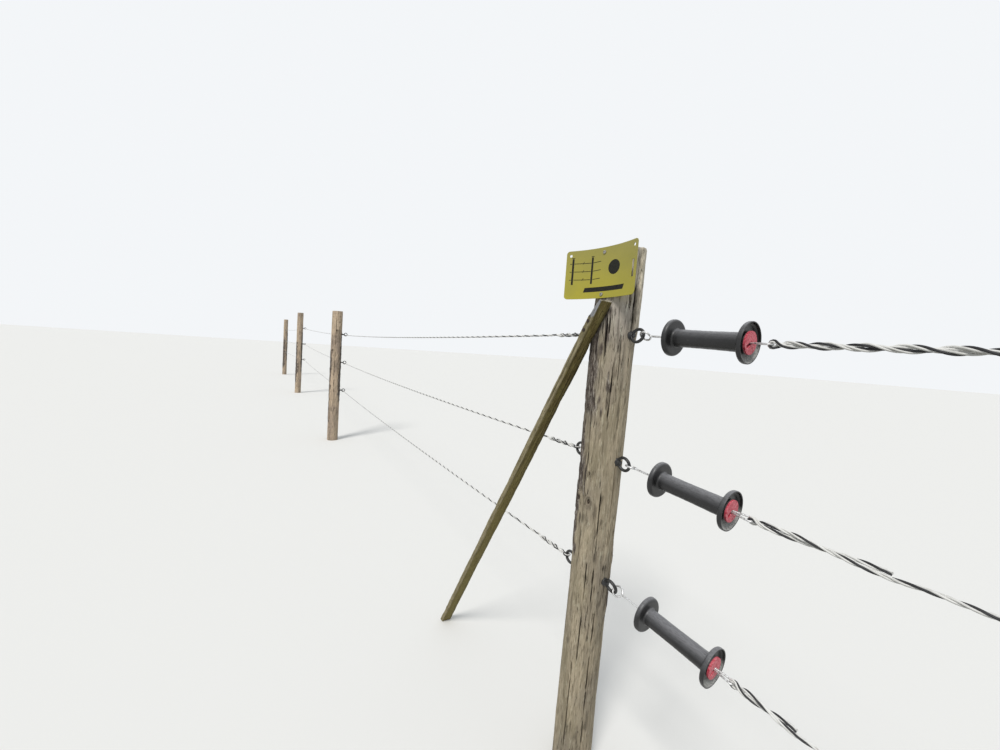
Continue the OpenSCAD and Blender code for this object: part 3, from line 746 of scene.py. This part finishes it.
# The ring anchors: black moulded rings on a short stem with a round foot, screwed into the posts.
# One tree makes them all, on points that carry each ring's aim, turn and distance from its post.
class Tree(Nodes):
    """A Geometry Nodes tree, from its input geometry and named sizes to its output."""

    def __init__(self, name, **sizes):
        super().__init__(bpy.data.node_groups.new(name, "GeometryNodeTree"))
        for way in ("INPUT", "OUTPUT"):
            self.tree.interface.new_socket("Geometry", in_out=way, socket_type="NodeSocketGeometry")
        for label, value in sizes.items():
            kind = "NodeSocketMaterial" if isinstance(value, bpy.types.Material) else "NodeSocketFloat"
            self.tree.interface.new_socket(label, in_out="INPUT", socket_type=kind).default_value = value
        self.start = self.tree.nodes.new("NodeGroupInput").outputs

    def grow(self, kind, wires={}, **settings):
        """The first output of a Geometry Nodes node."""
        return self.add("GeometryNode" + kind, wires, **settings)[0]

    def circle(self, sides, radius):
        return self.grow("CurvePrimitiveCircle", {"Resolution": sides, "Radius": radius})

    def along_x(self, x):
        return self.add("ShaderNodeCombineXYZ", {0: x})[0]

    def mark(self, name, kind="FLOAT"):
        """The points' own values of this name."""
        return self.grow("InputNamedAttribute", {"Name": name}, data_type=kind)

    def store(self, geometry, name, value):
        """The geometry with a number kept on its points."""
        wires = {"Geometry": geometry, "Name": name, "Value": value}
        return self.grow("StoreNamedAttribute", wires, data_type="FLOAT", domain="POINT")

    def vector(self, how, a, b=(0, 0, 0)):
        return self.add("ShaderNodeVectorMath", {0: a, 1: b}, operation=how)[0]

    def scaled(self, vector, scale):
        return self.add("ShaderNodeVectorMath", {0: vector, "Scale": scale}, operation="SCALE")[0]

    def finish(self, material, *grown):
        """Ends the tree: all that was grown is joined, made real and given its material."""
        join = self.grow("JoinGeometry")
        for geometry in grown:
            self.tree.links.new(geometry, join.node.inputs[0])
        real = self.grow("RealizeInstances", {0: join})
        done = self.grow("SetMaterial", {"Geometry": real, "Material": material})
        self.tree.links.new(done, self.tree.nodes.new("NodeGroupOutput").inputs[0])


def grown(name, tree, points, edges, body, marks={}, sharp=None, **sizes):
    """Runs a tree on a few points, with its sizes set, and keeps the result as a plain mesh."""
    seed_mesh = bpy.data.meshes.new(name + "_seed")
    seed_mesh.from_pydata([tuple(p) for p in points], edges, [])
    marked(seed_mesh, marks)
    seed_piece = bpy.data.objects.new(name + "_seed", seed_mesh)
    scene.collection.objects.link(seed_piece)
    modifier = seed_piece.modifiers.new("grow", "NODES")
    modifier.node_group = tree.tree
    for item in tree.tree.interface.items_tree:
        if item.in_out == "INPUT" and item.name in sizes:
            modifier[item.identifier] = sizes[item.name]
    bpy.context.view_layer.update()
    done = seed_piece.evaluated_get(bpy.context.evaluated_depsgraph_get())
    mesh = bpy.data.meshes.new_from_object(done)
    mesh.name = name
    bpy.data.objects.remove(seed_piece)
    piece = finished(name, mesh, body, sharp)
    outward(piece)
    return piece


black = Paint("anchor_plastic", roughness=0.48)
dusty = black.noise(90)
black.colour(black.ramp(dusty, (0.35, (0.010, 0.010, 0.011)), (0.7, (0.045, 0.045, 0.044))))
black.rough(black.ramp(dusty, (0.3, 0.38), (0.7, 0.62)))
black.bump(black.noise(1400, 3), 0.0002, 0.35)

ring_out, ring_thick, ring_wide, ring_stand = 0.019, 0.007, 0.008, 0.0195
anchor = Tree("ring_anchors", Radius=ring_out - ring_thick / 2, Thickness=ring_thick, Width=ring_wide,
              Stand=ring_stand, Foot=0.010, Plastic=black.material)
rim_size = anchor.add("ShaderNodeCombineXYZ", {0: anchor.start["Thickness"], 1: anchor.start["Width"], 2: 1.0})[0]
rim_profile = anchor.grow("Transform", {"Geometry": anchor.circle(20, 0.5), "Scale": rim_size})
rim = anchor.grow("CurveToMesh", {"Curve": anchor.circle(56, anchor.start["Radius"]), "Profile Curve": rim_profile})
rim = anchor.grow("Transform", {"Geometry": rim, "Rotation": (pi / 2, 0, 0)})
stem_end = anchor.maths("ADD", anchor.maths("SUBTRACT", anchor.start["Stand"], anchor.start["Radius"]), 0.010)
stem_line = anchor.grow("CurvePrimitiveLine", {"Start": (0, 0, 0), "End": anchor.along_x(stem_end)})
stem_line = anchor.grow("ResampleCurve", {"Curve": stem_line, "Count": 24})
stem_run = anchor.add("GeometryNodeSplineParameter")["Length"]
stem_radius = anchor.add("ShaderNodeMapRange", {
    "Value": stem_run, "From Min": 0.0042, "From Max": 0.0105, "To Min": anchor.start["Foot"], "To Max": 0.0052},
    interpolation_type="SMOOTHSTEP")[0]
stem_edge = anchor.add("ShaderNodeMapRange", {
    "Value": stem_run, "From Min": 0.0, "From Max": 0.0035, "To Min": 0.96, "To Max": 1.0})[0]
stem = anchor.grow("CurveToMesh", {"Curve": stem_line, "Profile Curve": anchor.circle(32, 1.0),
                                  "Scale": anchor.times(stem_radius, stem_edge), "Fill Caps": True})
stem_start = anchor.along_x(anchor.maths("SUBTRACT", -0.004, anchor.start["Stand"]))
stem = anchor.grow("Transform", {"Geometry": stem, "Translation": stem_start})
ring_aim = anchor.add("FunctionNodeEulerToRotation", {0: anchor.mark("aim", "FLOAT_VECTOR")})[0]
ring_spin = anchor.add("FunctionNodeAxisAngleToRotation", {"Axis": (1, 0, 0), "Angle": anchor.mark("turn")})[0]
rim_aim = anchor.add("FunctionNodeRotateRotation", {"Rotation": ring_aim, "Rotate By": ring_spin}, rotation_space="LOCAL")[0]
anchor.finish(anchor.start["Plastic"], *(
    anchor.grow("InstanceOnPoints", {"Points": anchor.start["Geometry"], "Instance": part, "Rotation": way})
    for part, way in ((rim, rim_aim), (stem, ring_aim))))


def ring_piece(name, node, places, stand=ring_stand):
    """Ring anchors at (middle of the ring, euler aim, turn) places, standing for one node."""
    points, aims, turns = zip(*places)
    piece = grown(name, anchor, points, [], "root", {"aim": aims, "turn": turns}, sharp=45, Stand=stand)
    stands_for(piece, node)


levels = ["top", "middle", "bottom"]
rope_height = [top_rope, 0.847, 0.541]
ring_turn = [-15, 8, 20]


def post_rings(name, node, x, y, lift, facing, stand=ring_stand):
    """The rings for the three ropes on an upright post, lifted above the gate's heights."""
    ring_piece(name, node, [((x, y, z + lift), (0, 0, facing), 0.0) for z in rope_height], stand)


def beside_post(z, reach):
    """The point at a reach from the gate post's middle, square to its lean, at the height z of its own line."""
    return (z * tan(post_lean) + reach * cos(post_lean), 0, z - reach * sin(post_lean))


for level, z, spin in zip(levels, rope_height, ring_turn):
    reach = post_radius + ring_stand
    ring_piece(f"anchor_ring_{level}", f"anchor_{level}", [(beside_post(z, reach), (0, post_lean, 0), radians(spin))])
    ring_piece(f"fence_anchor_ring_{level}", f"fence_anchor_{level}", [(beside_post(z, -reach), (0, -post_lean, pi), 0.0)])


# The hooks: 4.5 mm zinc-plated wire, bent to an open eye that holds the anchor's ring and drawn straight
# into the handle, where a washer on its end presses on the spring.
handle_dip = [radians(d) for d in (3, 4, 4)]
hook_turn = [45, 78, -40]
cap_x = 0.332
wire_radius, hook_radius, bend_radius, washer_radius = 0.00225, 0.012, 0.00496, 0.011
hook_play, spring_room = 0.0006, 0.040
pull_reach = post_radius + ring_stand + ring_out - ring_thick / 2


def handle_place(k):
    """The frame of a handle: its pull on the ring is the origin and X runs along it."""
    return Matrix.Translation(beside_post(rope_height[k], pull_reach)) @ Matrix.Rotation(handle_dip[k], 4, "Y")


def cap_at(k):
    """How far the handle's red end stands from the pull."""
    return (cap_x - handle_place(k).translation.x) / cos(handle_dip[k])


def arc(x, y, r, start, end, count):
    """Points on part of a round, from one angle to another in degrees."""
    turns = [radians(start + (end - start) * k / count) for k in range(count + 1)]
    return [(x + r * cos(a), y + r * sin(a)) for a in turns]


def wire(line, radius, sides=14):
    """A round wire along a line, without twist, its ends rounded over."""
    line = [Vector(p) for p in line]
    heading = [(b - a).normalized() for a, b in zip(line[:1] + line, line[1:] + line[-1:])]
    across = heading[0].orthogonal().normalized()
    sections = []
    for p, t in zip(line, heading):
        across = (across - t * across.dot(t)).normalized()
        sections.append((p, across, t.cross(across), radius))
    tip = [(0.92, 0.38), (0.7, 0.71), (0.38, 0.92)]
    (p, u, v, _), (q, s, t, _) = sections[0], sections[-1]
    sections = [(p - heading[0] * radius * b, u, v, radius * a) for a, b in reversed(tip)] + sections
    sections += [(q + heading[-1] * radius * b, s, t, radius * a) for a, b in tip]
    return tube([[p + (u * cos(a) + v * sin(a)) * r for a in turn_round(sides)] for p, u, v, r in sections])


zinc = Paint("hook_zinc", roughness=0.42, metallic=0.9)
zinc_patch = zinc.noise(320, 4, 0.65)
zinc.colour(zinc.ramp(zinc_patch, (0.34, (0.20, 0.19, 0.18)), (0.46, (0.56, 0.56, 0.56)), (0.62, (0.82, 0.83, 0.84))))
zinc.rough(zinc.ramp(zinc_patch, (0.3, 0.6), (0.7, 0.34)))
zinc.bump(zinc.noise(1600, 3), 0.0002, 0.5)

for k, level in enumerate(levels):
    place = handle_place(k)
    up = Matrix.Rotation(radians(hook_turn[k]), 4, "X") @ Vector((0, 0, 1))
    eye_middle = -ring_thick / 2 - wire_radius - hook_play + hook_radius
    line = arc(eye_middle, 0, hook_radius, 334, 17, 64)
    bend_middle = [c + bend_radius * f(radians(17)) for c, f in zip(line[-1], (cos, sin))]
    line += arc(*bend_middle, bend_radius, 197, 270, 14)[1:]
    rod_start, rod_end = line[-1][0], cap_at(k) - spring_room
    line += [(rod_start + (rod_end - rod_start) * s / 12, 0) for s in range(1, 13)]
    washer = [(rod_end - back, r) for back, r in ((0.002, 0.0026), (0.002, washer_radius - 0.0003), (0.0017, washer_radius),
                                                  (0.0003, washer_radius), (0, washer_radius - 0.0003), (0, 0.0026))]
    bent = wire([place @ (Vector((x, 0, 0)) + up * y) for x, y in line], wire_radius)
    hook = together(f"hook_wire_{level}", [bent, tube(turned(washer, 40, place))], zinc.material)
    stands_for(hook, f"hook_{level}")


# The grips: black moulded plastic, drawn in to a waist, with a cupped hand guard at each end. Their tops are painted
# lighter as a sky sheen, the palms of many hands have left them satin, and the inside of each cup is painted dark as
# shade, with dust and a painted sky reflection lightening its foot.
handle_length = 0.155
grip_r, guard_r, guard_depth, guard_wall, fillet = 0.01825, 0.039, 0.010, 0.0025, 0.004
bore_r, cap_thick, rod_bore = 0.013, 0.004, 0.003


def grip_profile(length):
    """Half section of the grip: up the hook end's cup, over its guard, along the tube to the rope's end, and back down the bore."""
    inner, floor, shoulder, inside_r = guard_r - guard_wall, guard_depth - guard_wall, 0.0054, 0.0045
    cup = [(floor, rod_bore + (inner - inside_r - rod_bore) * s / 8) for s in range(8)]
    cup += arc(floor - inside_r, inner - inside_r, inside_r, 0, 90, 10)
    cup += [(0.0010, inner + 0.0001), (0.0003, inner + 0.0004), (0.0, inner + 0.0009),
            (0.0, guard_r - 0.0009), (0.0004, guard_r - 0.0002), (0.0010, guard_r)]
    outside = arc(guard_depth - shoulder, guard_r - shoulder, shoulder, 90, 0, 12)
    outside += [(guard_depth, grip_r + fillet + (guard_r - shoulder - grip_r - fillet) * s / 4) for s in (3, 2, 1)]
    outside += arc(guard_depth + fillet, grip_r + fillet, fillet, 180, 270, 8)
    tube_start, tube_run, waist = guard_depth + fillet, length - 2 * (guard_depth + fillet), 0.00025
    barrel = [(tube_start + tube_run * s / 40, grip_r + waist * cos(2 * pi * s / 40) - waist) for s in range(1, 40)]
    far_cup = [(length - x, r) for x, r in reversed(cup + outside) if r > grip_r + 0.0015 or x > guard_depth]
    far_cup += [(length - floor, grip_r + 0.0008), (length - floor + 0.0008, grip_r), (length - cap_thick - 0.0003, grip_r),
                (length - cap_thick, grip_r - 0.0004), (length - cap_thick, bore_r)]
    bore = [(guard_depth + (length - cap_thick - guard_depth) * s / 8, bore_r) for s in range(7, -1, -1)]
    return cup + outside + barrel + far_cup + bore + [(guard_depth, rod_bore)]


moulding = Paint("grip_plastic", roughness=0.4, specular=0.42)
facing = moulding.upward(moulding.add("ShaderNodeNewGeometry")["Normal"])
grip_cloud = moulding.noise(45, stretch=(0.5, 1, 1))
scuff = moulding.noise(420, 3, 0.65, stretch=(0.25, 1, 1))
dust_and_reflection_spots = moulding.noise(420, 4, 0.65)
# Painted sheen: surfaces facing up are lightened to a pale blue-grey, as if reflecting the sky; scuffs break it up.
painted_top_sheen = moulding.times(moulding.ramp(facing, (0.1, 0.0), (0.6, 0.4), (0.9, 1.0)),
                        moulding.ramp(scuff, (0.36, 0.6), (0.58, 1.0)))
# Dust in the foot of each cup, partly a painted sky reflection on the upward-facing lower wall.
dust_and_reflection_share = moulding.times(moulding.mark("dust_and_reflection"), moulding.ramp(dust_and_reflection_spots, (0.34, 0.25), (0.54, 1.0)))
grip_colour = moulding.ramp(grip_cloud, (0.34, (0.013, 0.013, 0.0135)), (0.66, (0.026, 0.026, 0.028)))
grip_colour = moulding.mix(painted_top_sheen, grip_colour, (0.19, 0.192, 0.205))
grip_colour = moulding.over(grip_colour, (0.10, 0.10, 0.10), scuff, 0.62, 0.70, 0.35)
grip_colour = moulding.mix(moulding.mark("shade"), grip_colour, (0.006, 0.006, 0.006))
moulding.colour(moulding.mix(dust_and_reflection_share, grip_colour, (0.38, 0.39, 0.38)))
satin = moulding.ramp(grip_cloud, (0.3, 0.30), (0.7, 0.46))
moulding.rough(moulding.maths("ADD", satin, moulding.times(dust_and_reflection_share, 0.3), True))
moulding.bump(moulding.noise(700, 4, 0.65), 0.0004, 0.35)


def share_of(value):
    """The value, kept from 0 to 1."""
    return max(0.0, min(1.0, value))


grip_sides = 92
for k, level in enumerate(levels):
    place = handle_place(k) @ Matrix.Translation((cap_at(k) - handle_length, 0, 0))
    profile = grip_profile(handle_length)
    points, dust_and_reflection, shade = [], [], []
    for x, r in profile:
        on_tube = guard_depth < x < handle_length - guard_depth and r > 0.017
        in_cup = (x > handle_length - guard_depth + 0.001 and r > grip_r + 0.0004 or x < guard_depth - 0.001) and r < guard_r - 0.0022
        shade += [0.85 if in_cup else 0.0] * grip_sides
        for s, a in enumerate(turn_round(grip_sides)):
            seam = 0.00022 if s % (grip_sides // 2) == grip_sides // 4 and on_tube else 0
            wave = 0.00009 * (sin(x * 260 + 2 * k) + sin(x * 610 + a * 2)) if on_tube else 0
            points.append(place @ Vector((x, (r + seam + wave) * cos(a), (r + seam + wave) * sin(a))))
            # The lower wall of each cup takes dust and a painted sky reflection.
            low = -sin(a - 0.35)
            dust_and_reflection.append(share_of((low - 0.25) * 2.2) * share_of((r - 0.024) * 160) if in_cup else 0.0)
    faces = walls([*range(0, len(points), grip_sides), 0], grip_sides)
    grip = new_piece(f"grip_{level}_moulding", points, faces, moulding.material, f"handle_{level}", 50, {"dust_and_reflection": dust_and_reflection, "shade": shade})
    outward(grip)
    stands_for(grip, f"grip_{level}")


# The caps: moulded discs of red plastic, faded by the sun, with a slot for the eye's neck.
# Each is pushed into the mouth of its grip and closes it.
red = Paint("cap_plastic", roughness=0.5, specular=0.45)
cap_cloud = red.noise(260, 4, 0.65)
cap_colour = red.ramp(cap_cloud, (0.34, (0.43, 0.030, 0.055)), (0.5, (0.64, 0.095, 0.135)), (0.64, (0.76, 0.225, 0.265)))
red.colour(red.over(cap_colour, (0.20, 0.05, 0.05), red.noise(420, 3), 0.6, 0.75, 0.5))
red.bump(red.noise(900, 3), 0.0002, 0.4)
for level in levels:
    rounded_copy(f"cap_{level}", f"cap_{level}_disc", red.material, 0.0009, f"handle_{level}", steps=3)


# The eyes: wire drawn out to a long level drop, its neck through the cap's slot and held by a bar behind it.
# The middle one has twisted a little on its neck.
eye_reach, eye_half, eye_wire, neck_half = 0.0345, 0.0057, 0.0019, 0.0021
eye_twist = [0, 22, 0]
for k, level in enumerate(levels):
    place = handle_place(k) @ Matrix.Translation((cap_at(k), 0, 0)) @ Matrix.Rotation(radians(eye_twist[k]), 4, "X")
    bend_at = eye_reach - eye_half
    limb = [(-0.0112, -0.0020), (-0.004, -0.0020), (0.0, -neck_half)]
    limb += [(bend_at * s / 14, -neck_half - (eye_half - neck_half) * (s / 14) ** 0.8) for s in range(1, 14)]
    line = limb + arc(bend_at, 0, eye_half, 270, 450, 24) + [(x, -y) for x, y in reversed(limb)]
    drop = wire([place @ Vector((x, y, 0)) for x, y in line], eye_wire)
    bar = wire([place @ Vector((-0.0100, 0, z)) for z in (-0.0070, -0.0035, 0, 0.0035, 0.0070)], eye_wire)
    eye = together(f"eye_wire_{level}", [drop, bar], zinc.material, f"handle_{level}")
    stands_for(eye, f"eye_{level}")


# The ropes: laid rope of two white strands and a black one, with bright metal wires among the white.
# Each end goes round its ring or eye and is twisted back about the rope itself, for one to three hands' widths.
def rope_end_path(turn_r, centre, pitch, tail, twist=0.0):
    """The doubled end, in a frame where the held limb is Z at the origin and the rope leaves along X:
    from the cut tail, round the limb, and back to the rope's own line."""
    apart, tight, pace, loop_steps, past_tail, closing = 0.00365, 2.5, 0.004, 18, 0.037, 0.03
    pair_start = centre + turn_r * 0.6

    def twined(s, side, narrow=1.0):
        """The tail or the rope itself, s paces out, on its side of the pair."""
        ease = min(1, s / tight)
        phase = (2 * pi * s * pace / pitch + twist + pi / 2) * ease
        r = (turn_r * (1 - ease) + apart * ease) * narrow * side
        return Vector((pair_start + s * pace, r * cos(phase), r * sin(phase)))

    out = [twined(s, 1) for s in range(int((tail - centre - turn_r) / pace), -1, -1)]
    for s in range(1, loop_steps):
        a = radians(54) + radians(252) * s / loop_steps
        out.append(Vector((centre + turn_r * cos(a), turn_r * sin(a), 0)))
    for s in range(int((tail + past_tail) / pace)):
        left = share_of(1 - (pair_start + s * pace - tail) / closing)
        out.append(twined(s, -1, left ** 2 * (3 - 2 * left)))
    return out


def smooth_line(points, spacing):
    """The same line with its corners eased, in short steps at its ends and widening ones between."""
    for _ in range(2):
        eased = [(a + b * 2 + c) / 4 for a, b, c in zip(points, points[1:], points[2:])]
        points = [points[0], *eased, points[-1]]
    run = np.cumsum([0.0] + [(b - a).length for a, b in zip(points, points[1:])])
    end_run, end_step, widen = 0.05, 0.0015, 0.42
    inner = run[-1] - 2 * end_run
    near_end = np.arange(0, end_run, end_step)
    share = np.linspace(0, 1, round(inner / spacing))
    between = end_run + inner * share * (1 - widen + widen * share)
    at = np.concatenate([near_end, between, run[-1] - near_end[::-1]])
    return list(zip(*(np.interp(at, run, [p[i] for p in points]) for i in range(3))))


twine = Paint("rope_strands", roughness=0.62, specular=0.35)
strand_mark, run_mark = twine.mark("strand"), twine.mark("run")
along_yarn = twine.maths("ADD", twine.mark("round"), twine.times(run_mark, 14.0))
yarn_place = twine.add("ShaderNodeCombineXYZ", {"X": along_yarn, "Y": twine.times(run_mark, 2.0), "Z": strand_mark})[0]
yarn = twine.noise(13, 3, 0.7, place=yarn_place)
grime = twine.noise(60, 4, 0.65)
pale = twine.ramp(yarn, (0.30, (0.34, 0.34, 0.33)), (0.42, (0.72, 0.72, 0.70)), (0.60, (0.88, 0.88, 0.87)))
pale = twine.over(pale, (0.42, 0.41, 0.38), grime, 0.50, 0.75, 0.5)
dark = twine.ramp(yarn, (0.35, (0.012, 0.012, 0.014)), (0.7, (0.06, 0.06, 0.065)))
twine.colour(twine.over(pale, dark, strand_mark, 0.60, 0.64))
twine.bump(yarn, 0.0005, 0.8)

laid = Tree("laid_rope", Lay=0.060, Strand=0.00172, Centre=0.00198, Rope=twine.material)
rope_line = laid.grow("MeshToCurve", {0: laid.start["Geometry"]})
rope_line = laid.store(rope_line, "run", laid.add("GeometryNodeSplineParameter")["Length"])
three = laid.add("GeometryNodeDuplicateElements", {"Geometry": rope_line, "Amount": 3}, domain="SPLINE")
strands = laid.store(three[0], "strand", laid.maths("DIVIDE", three[1], 3.0))
turns_on = laid.maths("SUBTRACT", laid.mark("strand"), laid.maths("DIVIDE", laid.mark("run"), laid.start["Lay"]))
phase = laid.times(turns_on, 2 * pi)
heading = laid.grow("InputTangent")
side = laid.vector("NORMALIZE", laid.vector("CROSS_PRODUCT", heading, (0, 0, 1)))
above = laid.vector("CROSS_PRODUCT", side, heading)
across = laid.scaled(side, laid.maths("COSINE", phase))
upward = laid.scaled(above, laid.maths("SINE", phase))
shift = laid.scaled(laid.vector("ADD", across, upward), laid.start["Centre"])
strands = laid.grow("SetPosition", {"Geometry": strands, "Offset": shift})
yarn_round = laid.store(laid.circle(8, laid.start["Strand"]), "round", laid.add("GeometryNodeSplineParameter")["Factor"])
laid.finish(laid.start["Rope"], laid.grow("CurveToMesh", {"Curve": strands, "Profile Curve": yarn_round, "Fill Caps": True}))


def rope_piece(name, path, spacing, body=None, **sizes):
    """A rope laid along a path, for the node of the same name."""
    points = smooth_line(path, spacing)
    piece = grown(f"{name}_laid", laid, points, [(k, k + 1) for k in range(len(points) - 1)], body, **sizes)
    stands_for(piece, name)
    return piece


rope_fall = [0.015, 0.028, 0.052]
doubled = [0.26, 0.18, 0.10]
pair_pitch = [0.09, 0.26, 0.13]
ring_end = {"turn_r": 0.0088, "centre": 0.0008, "tail": 0.118}
held_x, path_step, far_clear, near_clear = 3.6, 0.01, 0.175, 0.05
for k, level in enumerate(levels):
    start = handle_place(k) @ Vector((cap_at(k) + eye_reach, 0, 0))
    end = Vector((gateway - pull_reach, 0, rope_height[k]))
    run = end.x - start.x
    bow = (end.z - start.z + rope_fall[k] * run) / (run * run)

    def hang(x):
        """The rope's height: it falls away from the handle and bows up to the far ring."""
        return start.z - rope_fall[k] * (x - start.x) + bow * (x - start.x) ** 2

    near_turn = Matrix.Rotation(atan(rope_fall[k]), 4, "Y") @ Matrix.Rotation(radians(90 + eye_twist[k]), 4, "X")
    far_slope = (hang(end.x) - hang(end.x - 0.1)) / 0.1
    far_turn = Matrix.Rotation(pi, 4, "Z") @ Matrix.Rotation(atan(far_slope), 4, "Y")
    near_end = rope_end_path(0.0056, 0.0, pair_pitch[k], doubled[k])
    path = [Matrix.Translation(start) @ near_turn @ p for p in near_end]
    x = path[-1].x + path_step
    while x < end.x - far_clear:
        path.append(Vector((x, 0, hang(x))))
        x += path_step
    path += [Matrix.Translation(end) @ far_turn @ p for p in reversed(rope_end_path(**ring_end, pitch=0.09, twist=0.4 * k))]
    rope = rope_piece(f"gate_rope_{level}", path, 0.0052)
    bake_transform(rope)


# The far side of the gateway: an upright post of the same kind, with its strut nailed on and let into the
# ground, and the ring anchors that hold the far ends of the gate's ropes.
far_cracks = [(150, 0.5, 1.34, 0.008, 0.003), (205, 0.1, 0.9, 0.007, 0.003), (240, 0.7, 1.36, 0.007, 0.003),
              (285, 0.2, 1.1, 0.007, 0.003), (330, 0.6, 1.3, 0.006, 0.003), (30, 0.2, 1.2, 0.008, 0.003), (95, 0.4, 1.0, 0.006, 0.003)]
far_post = timber("far_post_timber", gate_wood.material, gateway, post_height, timber_radius, columns=84, rows=230, seed=61,
                  cracks=far_cracks, bark=[(290, 34, 0.1, 0.8), (200, 24, 0.8, 1.2)])
stands_for(far_post, "far_post")
far_strut = batten("far_strut_batten", sawn_wood("far_strut_timber", rake).material, True, 77, around=60, rows=250)
stands_for(far_strut, "far_strut")
stands_for(nails("far_nail_heads", True), "far_nails")
post_rings("far_anchor_rings", "far_anchors", gateway - post_radius - ring_stand, 0, 0, pi)


# The line posts: round stakes with their bark peeled in strips, driven upright into the ground. The ropes
# run through ring insulators on the first two and end at the ring anchors of the last.
line_wood = weathered_wood("line_timber", pale=(0.86, 0.69, 0.51), mid=(0.60, 0.465, 0.34), dark=(0.26, 0.193, 0.142), moss=0.15)
line_x = [-3.746, -7.716, -11.736]
line_timber_r, line_post_r, line_rope_y = 0.0522, 0.054, 0.090
line_high = [1.400, 1.565, 1.560]
line_rise = [-0.006, 0.108, 0.108]
solid_rope_r = 0.004
line_cracks = [
    [(300, 0.2, 1.2, 0.007), (340, 0.5, 1.38, 0.008), (250, 0.1, 0.8, 0.006), (20, 0.6, 1.3, 0.007), (120, 0.3, 1.1, 0.006)],
    [(315, 0.3, 1.4, 0.008), (350, 0.1, 0.9, 0.006), (270, 0.8, 1.5, 0.007), (45, 0.4, 1.2, 0.007), (160, 0.2, 1.2, 0.006)],
    [(330, 0.4, 1.5, 0.008), (290, 0.1, 0.9, 0.006), (10, 0.8, 1.4, 0.006), (220, 0.4, 1.2, 0.007)],
]
stakes = (("line_post_one", "line_post_1"), ("line_post_two", "line_post_2"), ("end_post_timber", "end_post"))
for k, (name, node) in enumerate(stakes):
    stake = timber(name, line_wood.material, line_x[k], line_high[k], line_timber_r, columns=76, rows=220,
                   seed=101 + 20 * k, cracks=[(*crack, 0.003) for crack in line_cracks[k]],
                   bark=[(260 + 30 * k, 40, 0.2, 1.0), (60, 30, 0.4, 1.2)],
                   knots=[(200 + 37 * n + 11 * k, 0.35 + 0.21 * n, 0.008) for n in range(5)])
    stands_for(stake, node)
ring_lift = ring_out - ring_thick - solid_rope_r - seat_gap
for k in range(2):
    post_rings(f"line_rings_{k + 1}", f"line_insulators_{k + 1}", line_x[k], line_rope_y, line_rise[k] + ring_lift, pi / 2,
               line_rope_y - line_post_r)
end_reach = line_post_r + ring_stand
post_rings("end_rings", "end_anchors", line_x[2] + end_reach, 0, line_rise[2], 0)


# The fence's ropes: each starts at the gate post's ring, runs through the rings of two line posts with a
# slight sag in each bay, and ends at the last post's ring.
fence_sag, bay_steps, fence_pitch, end_clear = 0.015, 200, 0.055, 0.17
for k, level in enumerate(levels):
    start = Vector(beside_post(rope_height[k], -pull_reach))
    holds = [start] + [Vector((line_x[n], line_rope_y, rope_height[k] + line_rise[n])) for n in range(2)]
    end = Vector((line_x[2] + end_reach + ring_out - ring_thick / 2, 0, rope_height[k] + line_rise[2]))
    middle = []
    for a, b in zip(holds, holds[1:] + [end]):
        for t in np.arange(bay_steps) / bay_steps:
            p = a.lerp(b, t) - Vector((0, 0, 4 * fence_sag * t * (1 - t)))
            if min((p - start).length, (p - end).length) > end_clear:
                middle.append(p)
    near_turn, far_turn = (aimed(hold, (p - hold).normalized()) for hold, p in ((start, middle[0]), (end, middle[-1])))
    path = [near_turn @ p for p in rope_end_path(**ring_end, pitch=fence_pitch, twist=1.1 + 0.5 * k)] + middle
    path += [far_turn @ p for p in reversed(rope_end_path(**ring_end, pitch=fence_pitch, twist=0.3 * k))]
    rope_piece(f"fence_rope_{level}", path, 0.0095, body="root", Strand=0.00146, Centre=0.00168, Lay=0.048)

low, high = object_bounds()
